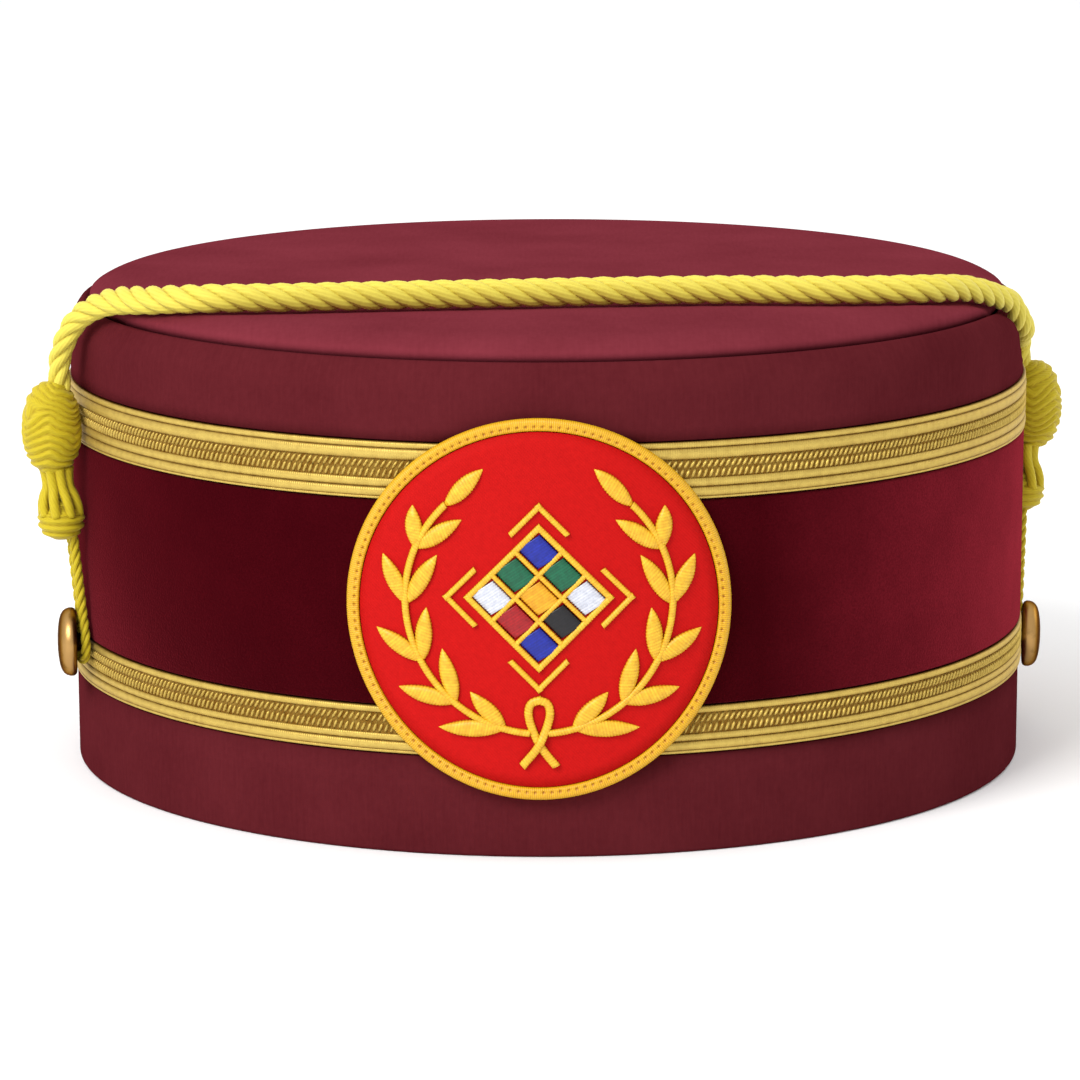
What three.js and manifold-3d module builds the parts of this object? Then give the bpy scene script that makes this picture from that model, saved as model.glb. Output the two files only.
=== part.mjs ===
// A stiff crown cap for formal dress: an oval cloth drum with a velvet band between two gold braids, a round
// embroidered badge on the front, and a twisted cord over the top that is buttoned on at both sides.
// Millimetres, +Z up, front at -Y. The cap stands on its rim at z = 0.
import * as THREE from "three";
import { mergeVertices } from "three/addons/utils/BufferGeometryUtils.js";
import Module from "manifold-3d";

// Crown
const HALF_WIDTH = 92;
const HALF_DEPTH = 101;
const HEIGHT = 92.4;
const CLOTH = 2.6;
const SHOULDER_OUT = 10.8;
const SHOULDER_UP = 10.1;
const SEAM_ANGLE = 43;
const SEAM_SINK = 1.2;
const HEM = 0.6;
const RECESS = 1.0;
const GAP = 0.3;
const OVAL = HALF_DEPTH / HALF_WIDTH;
const ROUND_STEPS = 56;
const FOOTPRINT_SHIFT = new THREE.Vector3(-1.0, 1.4, 0);

// Trim round the wall: heights of the edges, and how far each stands off the wall
const LOWER_BRAID = { bottom: 18.2, top: 26.6 };
const UPPER_BRAID = { bottom: 64.0, top: 74.3 };
const VELVET_LIFT = 0.3;
const BRAID_GROOVE = 0.1;
const BRAID_LIFT = 0.6;

// Badge, drawn flat in a front view and then bent round the wall
const BADGE = { x: -1.7, z: 45.2, radius: 34.2, border: 2.4 };
const DISC_THICK = 1.4;
const BORDER_THICK = 2.0;
const STITCH_THICK = 0.7;
const BADGE_STEPS = 40;

// Dress cord, knots and buttons
const CORD = 5.4;
const LOOP_CORD = 2.0;
const LARGE_KNOT = 5.6;
const SMALL_KNOT = 4.5;
const BUTTON = { radius: 6.5, shank: 1.6, back: 3.2, rim: 1.0, dome: 2.4 };

const wasm = await Module();
wasm.setup();

const cap = new THREE.Group();
cap.position.copy(FOOTPRINT_SHIFT);

const FINISH = {
  cloth: { color: 0x6f2631, roughness: 0.6, metalness: 0 },
  velvet: { color: 0x4a0a14, roughness: 0.9, metalness: 0 },
  braid: { color: 0xd8b04c, roughness: 0.4, metalness: 0.5 },
  twill: { color: 0xd81c18, roughness: 0.8, metalness: 0 },
  gold: { color: 0xf2b81c, roughness: 0.5, metalness: 0 },
  white: { color: 0xe8e8ee, roughness: 0.6, metalness: 0 },
  green: { color: 0x1f7a4a, roughness: 0.6, metalness: 0 },
  blue: { color: 0x2338a8, roughness: 0.6, metalness: 0 },
  black: { color: 0x161616, roughness: 0.6, metalness: 0 },
  cord: { color: 0xe0cf48, roughness: 0.6, metalness: 0 },
  brass: { color: 0xb08a4a, roughness: 0.35, metalness: 1 },
};

function addPiece(name, geometry, finish, parent = cap) {
  const piece = new THREE.Mesh(geometry, new THREE.MeshStandardMaterial(FINISH[finish]));
  piece.name = name;
  parent.add(piece);
  return piece;
}

function radians(degrees) {
  return THREE.MathUtils.degToRad(degrees);
}

// A piece that goes right round the cap: a closed section turned about the axis, then made oval
function ovalRing(section) {
  const ring = new THREE.LatheGeometry(section, ROUND_STEPS);
  ring.rotateX(Math.PI / 2);
  ring.scale(1, OVAL, 1);
  return ring;
}

function at(radius, z) {
  return new THREE.Vector2(radius, z);
}

// A point of the shoulder's round section, measured down from its outer skin
function shoulder(angle, depth) {
  const out = (SHOULDER_OUT - depth) * Math.cos(radians(angle));
  const up = (SHOULDER_UP - depth) * Math.sin(radians(angle));
  return at(HALF_WIDTH - SHOULDER_OUT + out, HEIGHT - SHOULDER_UP + up);
}

// Crown: the side runs from the hem over the shoulder to the seam, and the top disc closes it. The rows are
// angles round the shoulder's section, 0 at the wall and 90 at the flat top.
const SEAM_HALF_GAP = 0.9;
const SIDE_ROWS = { outside: [0, 18, 34], inside: [22, 0] };
const TOP_ROWS = { outside: [52, 66, 90], inside: [90, 66] };

function crownSide() {
  const recessed = HALF_WIDTH - RECESS;
  const inside = HALF_WIDTH - CLOTH;
  const edge = SEAM_ANGLE - SEAM_HALF_GAP;
  return ovalRing([
    at(HALF_WIDTH - HEM, 0),
    at(HALF_WIDTH, HEM),
    at(HALF_WIDTH, LOWER_BRAID.bottom - GAP),
    at(recessed, LOWER_BRAID.bottom - GAP),
    at(recessed, UPPER_BRAID.top + GAP),
    at(HALF_WIDTH, UPPER_BRAID.top + GAP),
    ...SIDE_ROWS.outside.map((angle) => shoulder(angle, 0)),
    shoulder(edge, SEAM_SINK),
    shoulder(edge, CLOTH),
    ...SIDE_ROWS.inside.map((angle) => shoulder(angle, CLOTH)),
    at(inside, HEM),
    at(inside + HEM, 0),
    at(HALF_WIDTH - HEM, 0),
  ]);
}

function crownTop() {
  const edge = SEAM_ANGLE + SEAM_HALF_GAP;
  return ovalRing([
    at(0, HEIGHT - CLOTH),
    ...TOP_ROWS.inside.map((angle) => shoulder(angle, CLOTH)),
    shoulder(edge, CLOTH),
    shoulder(edge, SEAM_SINK),
    ...TOP_ROWS.outside.map((angle) => shoulder(angle, 0)),
    at(0, HEIGHT),
  ]);
}

addPiece("crown_side", crownSide(), "cloth");
addPiece("crown_top", crownTop(), "cloth");

// Velvet band: lies in the wall's shallow recess, between the two braids
const UNDER_TRIM = HALF_WIDTH - RECESS + GAP;
function velvetBand() {
  const low = LOWER_BRAID.top + GAP;
  const high = UPPER_BRAID.bottom - GAP;
  const skin = HALF_WIDTH + VELVET_LIFT;
  return ovalRing([
    at(UNDER_TRIM, low),
    at(skin, low),
    at(skin, high),
    at(UNDER_TRIM, high),
    at(UNDER_TRIM, low),
  ]);
}

addPiece("velvet_band", velvetBand(), "velvet");

// Braid: flat strips side by side, listed upward by their share of the width, with a groove between each two
const UPPER_STRIPS = [
  { share: 0.21, lift: BRAID_LIFT },
  { share: 0.16, lift: BRAID_LIFT },
  { share: 0.32, lift: 0.3 },
  { share: 0.20, lift: BRAID_LIFT },
  { share: 0.11, lift: 0.4 },
];
const LOWER_STRIPS = [
  { share: 0.26, lift: BRAID_LIFT },
  { share: 0.16, lift: BRAID_LIFT },
  { share: 0.43, lift: 0.3 },
  { share: 0.15, lift: BRAID_LIFT },
];

function braid(edges, strips) {
  const width = edges.top - edges.bottom;
  const section = [at(UNDER_TRIM, edges.bottom), at(HALF_WIDTH + BRAID_GROOVE, edges.bottom)];
  let z = edges.bottom;
  for (const strip of strips) {
    const stripWidth = strip.share * width;
    section.push(at(HALF_WIDTH + strip.lift, z + stripWidth / 2));
    z += stripWidth;
    section.push(at(HALF_WIDTH + BRAID_GROOVE, z));
  }
  section.push(at(UNDER_TRIM, edges.top), at(UNDER_TRIM, edges.bottom));
  return ovalRing(section);
}

addPiece("upper_braid", braid(UPPER_BRAID, UPPER_STRIPS), "braid");
addPiece("lower_braid", braid(LOWER_BRAID, LOWER_STRIPS), "braid");

// Badge: flat pieces have x to the right, y up and z outward, and bend lays them on the front of the wall
const BADGE_BACK = BRAID_LIFT + GAP;
const DISC_FRONT = BADGE_BACK + DISC_THICK;
const STITCH_BACK = DISC_FRONT + GAP;

function bend(geometry) {
  const place = geometry.attributes.position;
  for (let i = 0; i < place.count; i += 1) {
    const x = BADGE.x + place.getX(i);
    const lift = place.getZ(i);
    const depth = (HALF_DEPTH + lift) * Math.sqrt(1 - (x / (HALF_WIDTH + lift)) ** 2);
    place.setXYZ(i, x, -depth, BADGE.z + place.getY(i));
  }
  geometry.computeVertexNormals();
  return geometry;
}

function turnedFlat(section) {
  const turned = new THREE.LatheGeometry(section, BADGE_STEPS);
  turned.rotateX(Math.PI / 2);
  return bend(turned);
}

const DISC_RADIUS = BADGE.radius - BADGE.border;
const DISC_RINGS = [0.35, 0.7, 1];
const discBack = DISC_RINGS.map((share) => at(share * DISC_RADIUS, BADGE_BACK));
const discFront = DISC_RINGS.map((share) => at(share * DISC_RADIUS, DISC_FRONT)).reverse();
const discSection = [at(0, BADGE_BACK), ...discBack, ...discFront, at(0, DISC_FRONT)];
addPiece("badge_disc", turnedFlat(discSection), "twill");

// The rolled edge's section, as shares of its width outward and of its thickness forward
const BORDER_ROWS = [
  { out: 0, forward: 0 },
  { out: 0.85, forward: 0 },
  { out: 1, forward: 0.5 },
  { out: 0.75, forward: 1 },
  { out: 0.25, forward: 1 },
  { out: 0, forward: 0.6 },
  { out: 0, forward: 0 },
];

function borderSection() {
  const inner = DISC_RADIUS + GAP;
  const width = BADGE.radius - inner;
  return BORDER_ROWS.map((row) => at(inner + row.out * width, BADGE_BACK + row.forward * BORDER_THICK));
}

addPiece("badge_border", turnedFlat(borderSection()), "gold");

// Joining of flat stitched shapes into one solid, before they are bent
function toSolid(geometry) {
  const bare = geometry.clone();
  bare.deleteAttribute("normal");
  bare.deleteAttribute("uv");
  const welded = mergeVertices(bare);
  return new wasm.Manifold(
    new wasm.Mesh({
      numProp: 3,
      vertProperties: new Float32Array(welded.attributes.position.array),
      triVerts: new Uint32Array(welded.index.array),
    }),
  );
}

function fuse(geometries) {
  const whole = geometries.map(toSolid).reduce((sum, next) => sum.add(next));
  const mesh = whole.getMesh();
  const geometry = new THREE.BufferGeometry();
  geometry.setAttribute("position", new THREE.BufferAttribute(mesh.vertProperties, 3));
  geometry.setIndex(new THREE.BufferAttribute(mesh.triVerts, 1));
  return geometry;
}

function stitched(shape, thick = STITCH_THICK) {
  const flat = new THREE.ExtrudeGeometry(shape, { depth: thick, bevelEnabled: false, curveSegments: 3 });
  flat.translate(0, 0, STITCH_BACK);
  return flat;
}

// A flat band of even width along a run of points
function bandShape(points, width) {
  const left = [];
  const right = [];
  points.forEach((point, i) => {
    const before = points[Math.max(i - 1, 0)];
    const after = points[Math.min(i + 1, points.length - 1)];
    const across = after.clone().sub(before).normalize().rotateAround(new THREE.Vector2(), Math.PI / 2);
    left.push(point.clone().addScaledVector(across, width / 2));
    right.push(point.clone().addScaledVector(across, -width / 2));
  });
  return new THREE.Shape([...left, ...right.reverse()]);
}

// Laurel branch: leaves in pairs along a round stem, with the angle on the stem's circle, and each leaf's
// length and its turn away from the stem
const STEM = { radius: 23.7, centre: 1.6, start: 266, end: 134, width: 1.0, thick: 0.6, steps: 12 };
const LEAF_WIDTH = 3.3;
const STEM_TIP_LEAF = 9.4;
const LEAF_ROOT = 0.4;
const LEAF_SWELL = { low: 0.25, high: 0.65, reach: LEAF_WIDTH / 1.5 };
const LEAF_PAIRS = [
  { stem: 255, outer: 11.8, outerTurn: 15, inner: 9.0, innerTurn: 32 },
  { stem: 231, outer: 10.4, outerTurn: 25, inner: 10.0, innerTurn: 38 },
  { stem: 208, outer: 9.8, outerTurn: 26, inner: 9.8, innerTurn: 34 },
  { stem: 182, outer: 9.6, outerTurn: 22, inner: 10.6, innerTurn: 35 },
  { stem: 157, outer: 7.6, outerTurn: 26, inner: 9.8, innerTurn: 35 },
];

function stemPoint(angle) {
  const out = new THREE.Vector2(STEM.radius, 0).rotateAround(new THREE.Vector2(), radians(angle));
  return out.add(new THREE.Vector2(0, STEM.centre));
}

function leaf(stemAngle, length, turn) {
  const low = LEAF_SWELL.low * length;
  const high = LEAF_SWELL.high * length;
  const shape = new THREE.Shape();
  shape.moveTo(-LEAF_ROOT, 0);
  shape.bezierCurveTo(low, -LEAF_SWELL.reach, high, -LEAF_SWELL.reach, length, 0);
  shape.bezierCurveTo(high, LEAF_SWELL.reach, low, LEAF_SWELL.reach, -LEAF_ROOT, 0);
  const flat = stitched(shape);
  const base = stemPoint(stemAngle);
  flat.rotateZ(radians(stemAngle - 90 + turn));
  flat.translate(base.x, base.y, 0);
  return flat;
}

function laurelBranch() {
  const points = [];
  for (let i = 0; i <= STEM.steps; i += 1) {
    points.push(stemPoint(THREE.MathUtils.lerp(STEM.start, STEM.end, i / STEM.steps)));
  }
  const stem = stitched(bandShape(points, STEM.width), STEM.thick);
  const pieces = [stem, leaf(STEM.end, STEM_TIP_LEAF, 0)];
  for (const pair of LEAF_PAIRS) {
    pieces.push(leaf(pair.stem, pair.outer, pair.outerTurn));
    pieces.push(leaf(pair.stem, pair.inner, -pair.innerTurn));
  }
  return fuse(pieces);
}

function mirrored(geometry) {
  const other = geometry.clone();
  other.scale(-1, 1, 1);
  const index = other.index;
  for (let i = 0; i < index.count; i += 3) {
    const second = index.getX(i + 1);
    index.setX(i + 1, index.getX(i + 2));
    index.setX(i + 2, second);
  }
  return other;
}

const branch = laurelBranch();
addPiece("wreath_right", bend(mirrored(branch)), "gold");
addPiece("wreath_left", bend(branch), "gold");

// Ribbon tie: a loop whose two ends cross between the stems and hang down
const RIBBON_WIDTH = 1.3;
const RIBBON_STEPS = 10;
const RIBBON_ROUTE = [
  { across: -0.3, up: -16.0 },
  { across: 1.4, up: -16.7 },
  { across: 1.9, up: -18.6 },
  { across: 0, up: -24.0 },
  { across: -3.0, up: -28.0 },
];

function ribbonHalf(side) {
  const run = new THREE.SplineCurve(RIBBON_ROUTE.map((row) => new THREE.Vector2(row.across * side, row.up)));
  return stitched(bandShape(run.getPoints(RIBBON_STEPS), RIBBON_WIDTH));
}

// The stems end beside the loop, so the tie lies in front of them and keeps clear
const TIE_CLEAR = STITCH_THICK + GAP;
const ribbon = fuse([ribbonHalf(1), ribbonHalf(-1)]);
ribbon.translate(0, 0, TIE_CLEAR);
addPiece("ribbon_tie", bend(ribbon), "gold");

// Lozenge lattice: a square frame on its corner with a stitched cell in each opening, and a chevron off each
// corner
const LATTICE = { y: 2.2, half: 9.4, rim: 1.0, bar: 0.8, cells: 3 };
const CELL_COLOURS = ["white", "green", "blue", "twill", "gold", "green", "blue", "black", "white"];
const CHEVRON = { arm: 6.6, width: 1.1, clear: 1.6 };

function latticePlace(flat) {
  flat.rotateZ(Math.PI / 4);
  flat.translate(0, LATTICE.y, 0);
  return bend(flat);
}

function square(centreX, centreY, half) {
  return [
    new THREE.Vector2(centreX - half, centreY - half),
    new THREE.Vector2(centreX + half, centreY - half),
    new THREE.Vector2(centreX + half, centreY + half),
    new THREE.Vector2(centreX - half, centreY + half),
  ];
}

const cellPitch = (2 * (LATTICE.half - LATTICE.rim) + LATTICE.bar) / LATTICE.cells;
const cellHalf = (cellPitch - LATTICE.bar) / 2;
const cellCentres = [];
for (let row = 0; row < LATTICE.cells; row += 1) {
  for (let column = 0; column < LATTICE.cells; column += 1) {
    cellCentres.push([(column - 1) * cellPitch, (1 - row) * cellPitch]);
  }
}

const frameBars = [];
for (let i = 0; i <= LATTICE.cells; i += 1) {
  const outermost = i === 0 || i === LATTICE.cells;
  const width = outermost ? LATTICE.rim : LATTICE.bar;
  const inset = outermost ? (LATTICE.rim - LATTICE.bar) / 2 : 0;
  const place = (i - LATTICE.cells / 2) * cellPitch;
  const shifted = place + Math.sign(place) * inset;
  const bar = new THREE.BoxGeometry(width, 2 * LATTICE.half, STITCH_THICK);
  bar.translate(shifted, 0, STITCH_BACK + STITCH_THICK / 2);
  frameBars.push(bar, bar.clone().rotateZ(Math.PI / 2));
}
addPiece("lattice_frame", latticePlace(fuse(frameBars)), "gold");
cellCentres.forEach(([x, y], i) => {
  const cell = stitched(new THREE.Shape(square(x, y, cellHalf - GAP)));
  addPiece(`lattice_cell_${i + 1}`, latticePlace(cell), CELL_COLOURS[i]);
});

// One chevron: a right angle whose two arms run along the frame's sides
function chevronShape() {
  const inner = LATTICE.half + CHEVRON.clear;
  const outer = inner + CHEVRON.width;
  const end = inner - CHEVRON.arm;
  return new THREE.Shape([
    new THREE.Vector2(inner, end),
    new THREE.Vector2(outer, end),
    new THREE.Vector2(outer, outer),
    new THREE.Vector2(end, outer),
    new THREE.Vector2(end, inner),
    new THREE.Vector2(inner, inner),
  ]);
}

["right", "top", "left", "bottom"].forEach((side, quarter) => {
  const chevron = stitched(chevronShape());
  chevron.rotateZ((quarter - 1) * (Math.PI / 2));
  addPiece(`chevron_${side}`, latticePlace(chevron), "gold");
});

// Sides: where the knots and the button hang, as angles round the oval from +X, and their heights
const SIDES = [
  { name: "left", knots: 199, button: 200, largeZ: 67.6, smallZ: 50.4, buttonZ: 26.6 },
  { name: "right", knots: 11.5, button: 7, largeZ: 63.2, smallZ: 46.2, buttonZ: 18.7 },
];

// A frame on the wall with x outward, y along the wall and z up
function wallGroup(angle) {
  const t = radians(angle);
  const group = new THREE.Group();
  group.position.set(HALF_WIDTH * Math.cos(t), HALF_DEPTH * Math.sin(t), 0);
  group.rotation.z = Math.atan2(Math.sin(t) / HALF_DEPTH, Math.cos(t) / HALF_WIDTH);
  group.updateMatrix();
  cap.add(group);
  return group;
}

function tube(curve, diameter, sides, steps) {
  const section = new THREE.Shape();
  for (let i = 0; i < sides; i += 1) {
    const corner = new THREE.Vector2(diameter / 2, 0);
    corner.rotateAround(new THREE.Vector2(), (2 * Math.PI * i) / sides);
    if (i === 0) section.moveTo(corner.x, corner.y);
    else section.lineTo(corner.x, corner.y);
  }
  return new THREE.ExtrudeGeometry(section, { steps, extrudePath: curve });
}

// Knots: round-bodied, with a narrow collar at each end; rows run upward as share of height and of radius
const KNOT_STEPS = 12;
const LARGE_ROWS = [
  { height: -1.0, radius: 0.44 },
  { height: -0.78, radius: 0.73 },
  { height: -0.36, radius: 0.98 },
  { height: 0.1, radius: 1.0 },
  { height: 0.5, radius: 0.91 },
  { height: 0.82, radius: 0.65 },
  { height: 1.0, radius: 0.44 },
];
const SMALL_ROWS = [
  { height: -1.0, radius: 0.42 },
  { height: -0.7, radius: 0.82 },
  { height: -0.15, radius: 1.0 },
  { height: 0.45, radius: 0.92 },
  { height: 1.0, radius: 0.68 },
];
const LARGE_HALF_HEIGHT = 8.7;
const SMALL_HALF_HEIGHT = 4.3;

function knot(rows, radius, halfHeight) {
  const section = rows.map((row) => at(row.radius * radius, row.height * halfHeight));
  const first = at(0, -halfHeight);
  const last = at(0, halfHeight);
  const body = new THREE.LatheGeometry([first, ...section, last], KNOT_STEPS);
  body.rotateX(Math.PI / 2);
  return body;
}

// Button: shank, flat back, rolled rim and low dome in one piece
const BUTTON_STEPS = 16;
const RIM_ROWS = [
  { radius: 0.94, height: 0 },
  { radius: 1, height: 0.5 },
  { radius: 0.95, height: 1 },
];
const DOME_ROWS = [
  { radius: 0.62, height: 0.68 },
  { radius: 0.3, height: 0.94 },
  { radius: 0, height: 1 },
];

function button() {
  const { radius, shank, back, rim, dome } = BUTTON;
  const section = [
    at(0, BRAID_LIFT + GAP),
    at(shank, BRAID_LIFT + GAP),
    at(shank, back),
    ...RIM_ROWS.map((row) => at(row.radius * radius, back + row.height * rim)),
    ...DOME_ROWS.map((row) => at(row.radius * radius, back + rim + row.height * dome)),
  ];
  const turned = new THREE.LatheGeometry(section, BUTTON_STEPS);
  turned.rotateZ(-Math.PI / 2);
  return turned;
}

const NECK = 5.2;
const NECK_SIDES = 10;
const CORD_SIDES = 8;
const LOOP_STEPS = 26;
const LARGE_LIFT = BRAID_LIFT + GAP + LARGE_KNOT;
const SMALL_LIFT = VELVET_LIFT + GAP + SMALL_KNOT;
const LOOP_LIFT = BRAID_LIFT + GAP + LOOP_CORD / 2;
const LEG = (LOOP_CORD + GAP) / 2;
const SEAT = BUTTON.shank + LOOP_CORD / 2 + GAP;
// A leg of the loop from the knot down to the wall: fall under the knot, share of the knot's lift
// off the wall and share of the sideways lean left over
const LEG_ROWS = [
  { fall: 0, lift: 1, lean: 1 },
  { fall: 4, lift: 0.5, lean: 0.85 },
  { fall: 10, lift: 0, lean: 0.45 },
];
const LEAVE_LIFT = SMALL_LIFT - 1.0;
// Then half the ring round the shank, as shares of the seat's radius from the top to the side
const RING_ROWS = [
  { along: 1, up: 0.98 },
  { along: 1.11, up: 0 },
  { along: 0.8, up: -0.95 },
];
const RING_BOTTOM = 1.4;
const knotTops = [];

for (const side of SIDES) {
  const hang = wallGroup(side.knots);
  const largeBody = knot(LARGE_ROWS, LARGE_KNOT, LARGE_HALF_HEIGHT);
  const large = addPiece(`large_knot_${side.name}`, largeBody, "cord", hang);
  large.position.set(LARGE_LIFT, 0, side.largeZ);
  const smallBody = knot(SMALL_ROWS, SMALL_KNOT, SMALL_HALF_HEIGHT);
  const small = addPiece(`small_knot_${side.name}`, smallBody, "cord", hang);
  small.position.set(SMALL_LIFT, 0, side.smallZ);
  const neckTop = side.largeZ - LARGE_HALF_HEIGHT - GAP;
  const neckBottom = side.smallZ + SMALL_HALF_HEIGHT + GAP;
  const neckLift = (LARGE_LIFT + SMALL_LIFT) / 2;
  const neck = new THREE.LineCurve3(
    new THREE.Vector3(neckLift, 0, neckTop),
    new THREE.Vector3(neckLift, 0, neckBottom),
  );
  addPiece(`knot_neck_${side.name}`, tube(neck, NECK, NECK_SIDES, 1), "cord", hang);
  const top = new THREE.Vector3(LARGE_LIFT, 0, side.largeZ + LARGE_HALF_HEIGHT + GAP);
  knotTops.push(top.applyMatrix4(hang.matrix));

  // The loop leaves the small knot as two legs, opens round the shank and closes under it
  const seat = wallGroup(side.button);
  const stud = addPiece(`button_${side.name}`, button(), "brass", seat);
  stud.position.set(0, 0, side.buttonZ);
  const lean = radians(side.knots - side.button) * HALF_DEPTH;
  const start = side.smallZ - SMALL_HALF_HEIGHT - GAP;
  const half = (hand) => [
    ...LEG_ROWS.map((row) => new THREE.Vector3(
      THREE.MathUtils.lerp(LOOP_LIFT, LEAVE_LIFT, row.lift),
      row.lean * lean + hand * LEG,
      start - row.fall,
    )),
    ...RING_ROWS.map((row) => new THREE.Vector3(
      LOOP_LIFT,
      hand * row.along * SEAT,
      side.buttonZ + row.up * SEAT,
    )),
  ];
  const under = new THREE.Vector3(LOOP_LIFT, 0, side.buttonZ - RING_BOTTOM * SEAT);
  const loop = new THREE.CatmullRomCurve3([...half(1), under, ...half(-1).reverse()], false, "centripetal");
  addPiece(`cord_loop_${side.name}`, tube(loop, LOOP_CORD, CORD_SIDES, LOOP_STEPS), "cord", seat);
}

// Dress cord: places over the top from the left knot to the right one, as seen from above, with a
// height where the cord is off the crown or has slid down its side
const CORD_ROUTE = [
  [-90.6, -36.3, 84.3],
  [-87.7, -38.1, 88.6],
  [-81.6, -43.6, 92.2],
  [-72.0, -53.2],
  [-62.5, -58.4],
  [-48.8, -57.4],
  [-27.0, -54.2],
  [-5.0, -51.4],
  [14.0, -48.8],
  [34.0, -47.4],
  [54.0, -48.4],
  [67.0, -46.6],
  [72.9, -42.9],
  [77.6, -37.8],
  [83.2, -32.0],
  [87.2, -27.2],
  [90.3, -23.0],
  [94.2, -13.4, 83.5],
  [95.1, 2.0, 79.5],
];

const CORD_STRAIGHT = 3;
const CORD_STEPS = 44;

// Height of the cord's middle where it lies on the crown
function cordHeight(x, y) {
  const off = CORD / 2 + GAP;
  const radius = Math.hypot(x, y / OVAL);
  const past = Math.max(radius - (HALF_WIDTH - SHOULDER_OUT), 0) / (SHOULDER_OUT + off);
  return HEIGHT - SHOULDER_UP + (SHOULDER_UP + off) * Math.sqrt(Math.max(1 - past * past, 0));
}

const lying = CORD_ROUTE.map(([x, y, z]) => new THREE.Vector3(x, y, z ?? cordHeight(x, y)));
const [leftTop, rightTop] = knotTops;
const straight = new THREE.Vector3(0, 0, CORD_STRAIGHT);
const leftUp = leftTop.clone().add(straight);
const rightUp = rightTop.clone().add(straight);
const cordPoints = [leftTop, leftUp, ...lying, rightUp, rightTop];
const dressCord = new THREE.CatmullRomCurve3(cordPoints, false, "centripetal");
addPiece("dress_cord", tube(dressCord, CORD, CORD_SIDES, CORD_STEPS), "cord");

export default cap;
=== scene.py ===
import math

import bmesh
import bpy
from mathutils import Matrix, Vector
from mathutils.geometry import interpolate_bezier


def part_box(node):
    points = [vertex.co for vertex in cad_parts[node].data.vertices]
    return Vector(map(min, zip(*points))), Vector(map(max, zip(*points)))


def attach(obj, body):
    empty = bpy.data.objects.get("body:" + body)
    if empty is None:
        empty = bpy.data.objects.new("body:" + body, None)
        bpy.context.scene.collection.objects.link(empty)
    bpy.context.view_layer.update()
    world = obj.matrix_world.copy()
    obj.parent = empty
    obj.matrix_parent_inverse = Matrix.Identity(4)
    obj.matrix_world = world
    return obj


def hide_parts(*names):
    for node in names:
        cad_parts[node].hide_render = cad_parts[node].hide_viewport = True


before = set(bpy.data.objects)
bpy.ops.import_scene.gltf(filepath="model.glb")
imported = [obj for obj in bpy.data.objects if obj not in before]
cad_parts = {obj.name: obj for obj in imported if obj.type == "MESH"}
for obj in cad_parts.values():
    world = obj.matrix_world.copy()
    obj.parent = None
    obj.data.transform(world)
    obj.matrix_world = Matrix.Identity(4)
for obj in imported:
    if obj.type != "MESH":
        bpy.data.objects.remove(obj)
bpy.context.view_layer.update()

# Side of the crown: a stiffened oval wall of maroon ribbed cloth, turned in at its hem, sunk a little where
# the trim is sewn round it, and drawn over a padded shoulder to the seam of the top. Shapes here are in
# millimetres about the crown's axis, and finish_piece sets them into the frame.
MM = 0.001
side_low, side_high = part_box("crown_side")
AXIS = Vector(((side_low.x + side_high.x) / 2, (side_low.y + side_high.y) / 2, 0))
HALF_WIDTH = (side_high.x - side_low.x) / 2 / MM
HALF_DEPTH = (side_high.y - side_low.y) / 2 / MM
OVAL = HALF_DEPTH / HALF_WIDTH
GIRTH = math.tau * (HALF_WIDTH + HALF_DEPTH) / 2
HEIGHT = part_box("crown_top")[1].z / MM
CLOTH = 2.6
HEM = 0.8
RECESS = 1.0
GAP = 0.3
SHOULDER_OUT = 10.8
SHOULDER_UP = 10.1
SEAM_ANGLE = 43
SEAM_SINK = 2.3
SEAM_HALF_GAP = 2.2
SIDE_ROLL = 0.9
ROUND_STEPS = 360
TAPER = 0.006
LOWER_BRAID = (18.2, 26.6)
UPPER_BRAID = (64.0, 74.3)
ROLL_SHARES = (1.0, 0.72, 0.46, 0.24, 0.08, 0.0)
# Heights of the wall's rows under the braids, behind the velvet, over the braids and down the inside
LOW_ROWS = (6, 12)
MIDDLE_ROW = 46
HIGH_ROWS = (77, 79.5)
INNER_ROWS = (60, 40, 20)


def arc(centre, radius, start, end, count):
    """Points of a round corner, from one angle to another."""
    angles = [math.radians(start + (end - start) * i / (count - 1)) for i in range(count)]
    return [(centre[0] + radius * math.cos(a), centre[1] + radius * math.sin(a)) for a in angles]


def shoulder(angle, depth=0.0):
    """A place in the shoulder's section, 0 degrees at the wall and 90 at the flat top, under its skin."""
    turn = math.radians(angle)
    out = (SHOULDER_OUT - depth) * math.cos(turn)
    up = (SHOULDER_UP - depth) * math.sin(turn)
    return (HALF_WIDTH - SHOULDER_OUT + out, HEIGHT - SHOULDER_UP + up)


def rolled_edge(radius, hand):
    """The cloth's edge as it rolls down into the seam; hand is -1 under the seam and 1 over it."""
    degree = math.radians(1) * (SHOULDER_OUT + SHOULDER_UP) / 2
    rows = []
    for share in ROLL_SHARES:
        sink = radius - math.sqrt(radius ** 2 - (radius * (1 - share)) ** 2)
        rows.append(shoulder(SEAM_ANGLE + hand * (SEAM_HALF_GAP + share * radius / degree), sink))
    return rows + [shoulder(SEAM_ANGLE + hand * SEAM_HALF_GAP, SEAM_SINK)]


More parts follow.
